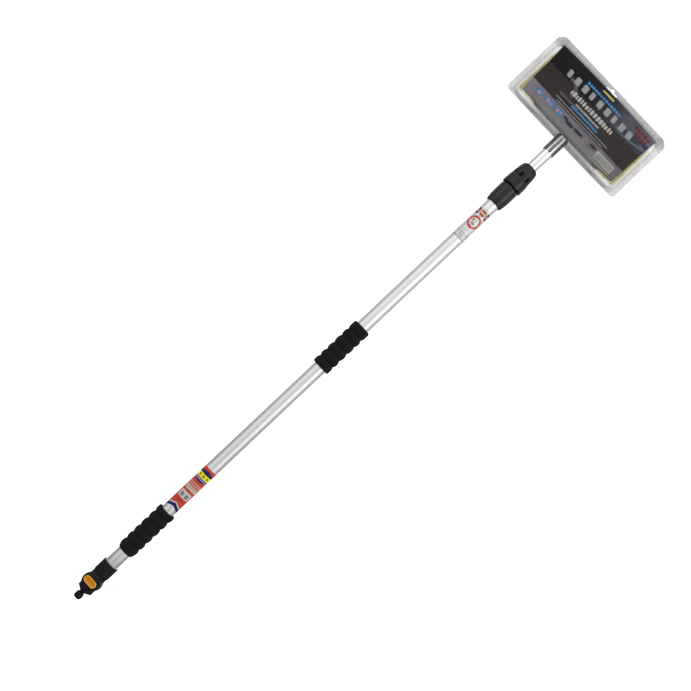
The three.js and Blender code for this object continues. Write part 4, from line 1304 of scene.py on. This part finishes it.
def front_shell():
    """The front's flange with its bead, and the dome over the card, ring by ring to its middle."""
    flange = FLANGE_GAP + PACK_SHEET
    outer = plan_ring(*FLANGE_PLAN, flange)
    inner_edge = plan_ring(*LIP_PLAN, flange)
    bead_out = plan_ring(1275.4, 1416, 144.4, 9, 18, flange)
    bead = plan_ring(1276.6, 1414.6, 143.2, 9.4, 18, flange + 0.35)
    bead_in = plan_ring(1277.8, 1412.8, 142.0, 9.8, 18, flange + 0.05)
    base = plan_ring(*DOME_PLAN, flange)
    foot = plan_ring(*FOOT_PLAN, 1.9)
    shoulder = plan_ring(1285.0, 1403.4, 133.6, 9, 15, lambda x, y: roof(x, y) - 2.6)
    shoulder_mid = plan_ring(1285.8, 1402.6, 132.9, 9, 15, lambda x, y: roof(x, y) - 0.8)
    brow = plan_ring(1287.6, 1400.8, 131.2, 8, 14, roof)
    rings = [outer, inner_edge, bead_out, bead, bead_in, base, foot]
    rings += [blend_rings(foot, shoulder, k / 8) for k in range(1, 8)]
    rings += [shoulder, shoulder_mid, brow]
    centre_x, steps = 1344, 34
    for k in range(1, steps):
        s = 1 - k / steps
        ring = []
        for point in brow:
            x = (point.x - TIP) / MM
            y = point.y / MM
            xx = centre_x + (x - centre_x) * s
            yy = y * s
            ring.append(at(xx, yy, roof(xx, yy)))
        rings.append(ring)
    return loft("front_shell", rings, CLEAR_WITH_PAINTED_LIGHT, close_start=False, sharp=math.radians(60))


def back_shell():
    """The back's flange and the deep dome round the bristles, closed by a flat floor."""
    flange = -(FLANGE_GAP + PACK_SHEET)
    depth = -61.0
    outer = plan_ring(*FLANGE_PLAN, flange)
    inner_edge = plan_ring(*LIP_PLAN, flange)
    base = plan_ring(*DOME_PLAN, flange)
    foot = plan_ring(*FOOT_PLAN, flange - 1.2)
    low = plan_ring(1288, 1401, 131, 12, 18, depth + 7)
    turn_a = plan_ring(1289.2, 1399.8, 129.8, 11, 17, depth + 2.4)
    turn_b = plan_ring(1291.4, 1397.6, 127.6, 10, 16, depth + 0.5)
    floor = plan_ring(1294, 1395, 125, 10, 16, depth)
    rings = [outer, inner_edge, base, foot]
    rings += [blend_rings(foot, low, k / 10) for k in range(1, 10)]
    rings += [low, turn_a, turn_b, floor]
    rings += [plan_ring(1294 + 50 * s, 1395 - 50 * s, 125 * (1 - s) + 1.2 * s, 10 * (1 - s) + 0.3 * s,
                        16 * (1 - s) + 0.3 * s, depth) for s in (0.2, 0.45, 0.7, 0.9)]
    return loft("back_shell", rings, CLEAR_WITH_PAINTED_LIGHT, close_start=False, sharp=math.radians(60))


def thicken(shell):
    """Gives the shell its sheet thickness, inwards from the outer face."""
    skin = shell.modifiers.new("sheet", "SOLIDIFY")
    skin.thickness = PACK_SHEET * MM
    skin.offset = -1
    apply_modifiers(shell)


def half_neck(side, start, end, inner_r, outer_r):
    """Half of the tube-like neck; side is +1 above and -1 below."""
    rings = []
    steps, bands = 40, 14
    rib_x = 1248.5
    gap = math.asin(FLANGE_GAP / outer_r)
    angles = [gap + (math.pi - 2 * gap) * k / steps for k in range(steps + 1)]
    stations = [(start, 0.35), (start + 0.3, 0.0)]
    stations += [(start + (end - start) * k / bands, 0) for k in range(1, bands + 1)]
    for x, trim in stations:
        r = outer_r - trim + 0.28 * math.exp(-((x - rib_x) / 1.1) ** 2)
        ring = [at(x, r * math.cos(a), side * r * math.sin(a)) for a in angles]
        ring += [at(x, inner_r * math.cos(a), side * inner_r * math.sin(a)) for a in reversed(angles)]
        rings.append(ring)
    return loft("half_neck", rings, NECK_CLEAR_WITH_PAINTED_REFLECTION, sharp=math.radians(40))


def hang_slot():
    """The cutter for the hang slot: a slot with round ends, widened by a round hole in its middle."""
    x_mid, half_width, half_length = 1414.6, 2.2, 14
    round_x, round_r = 1416.8, 3.8
    edge = half_width - (round_x - x_mid)
    start = math.atan2(math.sqrt(round_r ** 2 - edge ** 2), edge)

    def slot_end(side):
        angles = [side * math.radians(90 - 15 * k) for k in range(13)]
        return [(x_mid - half_width * math.sin(a),
                 side * (half_length - half_width + half_width * math.cos(a))) for a in angles]
    hole = [(round_x + round_r * math.cos(a), round_r * math.sin(a))
            for a in (start - 2 * start * k / 16 for k in range(17))]
    outline = slot_end(1) + hole + slot_end(-1)
    rings = [[at(x, y, z) for x, y in outline] for z in (-4, 4)]
    return loft("hang_slot", rings, CLEAR_WITH_PAINTED_LIGHT)


def pack():
    """Both halves of the pack, cut for the hang slot and the pole, each with its half of the neck."""
    for node, side, shell in (("pack_front", 1, front_shell()), ("pack_back", -1, back_shell())):
        thicken(shell)
        boolean(shell, hang_slot(), "DIFFERENCE")
        boolean(shell, plug("mouth", 1230, 1294, NECK_BORE_R - 0.05, CLEAR_WITH_PAINTED_LIGHT, 80), "DIFFERENCE")
        smooth_again(shell, math.radians(38))
        shell.name = node + "_skin"
        place_piece(shell, "inner_pole", "clear_sheet", node)
        neck = half_neck(side, reach("pack_front")[0], 1283.5, NECK_BORE_R, NECK_R)
        neck.name = shell.name + "_neck"
        place_piece(neck, "inner_pole", "clear_sheet")


# ---------------------------------------------------------------- brush
BLOCK_X = 1318
BLOCK_TILT = math.radians(-18)


def on_block(u, v, w):
    """A place in the tilted block's own frame: u along the pole, v across, w up."""
    c, s = math.cos(BLOCK_TILT), math.sin(BLOCK_TILT)
    return at(BLOCK_X + u * c + w * s, v, -u * s + w * c)


def block_ring(half_u, half_v, r, w):
    """A ring on the block at height w, of those half sizes and corner radius."""
    points = []
    for start, su, sv in ((-90, 1, -1), (0, 1, 1), (90, -1, 1), (180, -1, -1)):
        for k in range(10):
            angle = math.radians(start + 10 * k)
            points.append(on_block(su * (half_u - r) + r * math.cos(angle),
                                   sv * (half_v - r) + r * math.sin(angle), w))
    return points


def brush_block():
    """The tilted block with its cavity, the pole's socket, two ribs and the bristle plate under it."""
    levels = [(30.5, 92, 10, -6), (30.5, 92, 10, 5.4), (29.9, 91.4, 10, 7.2), (28.4, 89.9, 9, 8)]
    inner = [(28.4, 89.9, 9, 8), (25.6, 87, 8, 8), (25.2, 86.6, 8, 7.0), (10, 60, 6, 7.0)]
    body = loft("brush_block_skin", [block_ring(*level) for level in levels + inner[1:]], BLACK)
    cavity = loft("cavity", [block_ring(25.5, 86, 7, w) for w in (-7, 3)], BLACK)
    boolean(body, cavity, "DIFFERENCE")
    socket_r, socket_end = 11.2, 1312
    socket = turned("socket", rounded([
        (1287.4, 0.02), (1287.4, socket_r), (socket_end - 1, socket_r), (socket_end, socket_r - 1),
        (socket_end, 0.02)], 0.8), BLACK, 64)
    below = loft("below", [[at(x, y, z) for x, y in ((1270, -30), (1330, -30), (1330, 30), (1270, 30))]
                           for z in (-40, -12.0)], BLACK)
    boolean(socket, below, "DIFFERENCE")
    boolean(body, socket, "UNION")
    for step in (-1, 1):
        foot = ((1292, 9.5, 0), (1332, 24, 5), (1332, 26, 5), (1292, 12, 0))
        crest = ((1292, 9.5, 6.5), (1330, 24, 14.6), (1330, 26, 14.6), (1292, 12, 6.5))
        rib = loft("rib", [[at(x, step * y, z) for x, y, z in ring] for ring in (foot, crest)], BLACK)
        boolean(body, rib, "UNION")
    boolean(body, plug("bore", 1280, 1304, 7.6, BLACK), "DIFFERENCE")
    boolean(body, plug("room", 1275, 1287.3, 13, BLACK), "DIFFERENCE")
    smooth_again(body)
    place_piece(body, "inner_pole", "black_plastic", "brush_block")
    plate_levels = [(29.4, 91, 9.4, -9), (30.5, 92, 10, -8.4), (30.5, 92, 10, -6.3)]
    plate = loft("bristle_plate_skin", [block_ring(*level) for level in plate_levels], BLACK)
    place_piece(plate, "inner_pole", "black_plastic", "bristle_plate")


def inside_dome(place):
    """Holds a place just inside the back dome's leaning walls and round corners."""
    offset = (place - at(0)) / MM
    lean = 1.5 + 8 * min(1.0, max(0.0, -offset.z / 54))
    near, far, half = DOME_PLAN[0] + lean, DOME_PLAN[1] - lean, DOME_PLAN[2] - lean
    corner = 13
    x = min(max(offset.x, near), far)
    y = min(abs(offset.y), half)
    out_x = max(near + corner - x, x - far + corner)
    out_y = y - half + corner
    if out_x > 0 and out_y > 0 and math.hypot(out_x, out_y) > corner:
        pull = 1 - corner / math.hypot(out_x, out_y)
        x += math.copysign(out_x * pull, (near + far) / 2 - x)
        y -= out_y * pull
    return at(x, math.copysign(y, offset.y), offset.z)


# Middle along the pole, half spread along and across it, and height, of the bristles at mid length
# and at their ends.
BELLY = (1347.8, 48.6, 134.4, -22)
ENDS = (1346.5, 44.5, 128.4, -55)


def bristles():
    """Tufts set in the plate, fanned out until they fill the pack."""
    seed = random.Random(77)
    vertices, faces = [], []
    rows, columns = 10, 31
    half_u, half_v, root_w = 27, 87, -8.2       # the tufts' field on the plate
    tuft_r, fibre, taper = 1.6, 0.7, 0.7
    per_tuft = 20
    for i in range(rows):
        for j in range(columns):
            u = -half_u + 2 * half_u * (i + 0.5 * (j % 2) * 0.9) / (rows - 0.5)
            v = -half_v + 2 * half_v * j / (columns - 1)
            su, sv = u / half_u, v / half_v
            for _ in range(per_tuft):
                a, r = seed.uniform(0, 2 * math.pi), tuft_r * math.sqrt(seed.random())
                root = on_block(u + r * math.cos(a), v + r * math.sin(a), root_w)
                fan_u = su + seed.uniform(-0.13, 0.13)
                fan_v = sv + seed.uniform(-0.045, 0.045)
                fan_u = max(-1, min(1, fan_u))
                fan_v = max(-1, min(1, fan_v))
                reach_in = seed.uniform(0.965, 1.0)
                mid = at(BELLY[0] + BELLY[1] * fan_u * reach_in, BELLY[2] * fan_v * reach_in,
                         BELLY[3] + seed.uniform(-3, 3))
                end_z = ENDS[3] + seed.uniform(-1.0, 1.6) + 2.2 * (fan_u ** 4 + fan_v ** 4)
                tip = at(ENDS[0] + ENDS[1] * fan_u * reach_in, ENDS[2] * fan_v * reach_in, end_z)
                bow = mid * 2 - root * 0.5 - tip * 0.5
                path = [inside_dome(curved(root, bow, tip, k / 6)) for k in range(7)]
                sweep(path, fibre * MM, 3, vertices, faces, taper)
    piece = make_object("bristles", vertices, faces, BRISTLE, math.radians(180))
    place_piece(piece, "inner_pole", "bristle", "bristle_field")


# ---------------------------------------------------------------- everything together
def floor():
    """The pale floor, in metres, just under the lowest of the pack."""
    size = 6.0
    thickness = 0.02
    drop = 0.0006
    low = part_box("pack_back")[0].z - drop
    corners = [Vector((x, y, z)) for z in (low - thickness, low)
               for x, y in ((-size, -size), (size, -size), (size, size), (-size, size))]
    faces = [(0, 3, 2, 1), (4, 5, 6, 7), (0, 1, 5, 4), (1, 2, 6, 5), (2, 3, 7, 6), (3, 0, 4, 7)]
    made = make_object("floor", corners, faces, floor_paint())
    made.visible_glossy = False


def inner_parts():
    """Finishes for the CAD nodes that stay as they are, inside the tubes and the valve."""
    for material, names in (
        (NYLON, ("ball_seat_near", "ball_seat_far", "collet", "guide_piston")),
        (RUBBER, ("stem_o_ring", "spigot_o_ring", "collar_seal", "piston_o_ring_1", "piston_o_ring_2",
                  "spigot_seal")),
        (BRASS, ("valve_ball",)),
        (BLACK, ("head_spigot",)),
    ):
        for name in names:
            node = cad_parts[name]
            node.data.materials.clear()
            node.data.materials.append(material)


tubes()
hose_nipple()
o_ring("nipple_o_ring", "outer_pole", 8.1, 7.75, 1.6)
valve_body()
valve_knob()
sleeve()
grip("lower_grip", LOWER_GROOVES, False)
grip("mid_grip", MID_GROOVES, True)
lower_label()
upper_label()
collar()
twist_nut()
staples()
card()
card_print()
pack()
brush_block()
bristles()
inner_parts()
floor()
photo_camera()
studio()
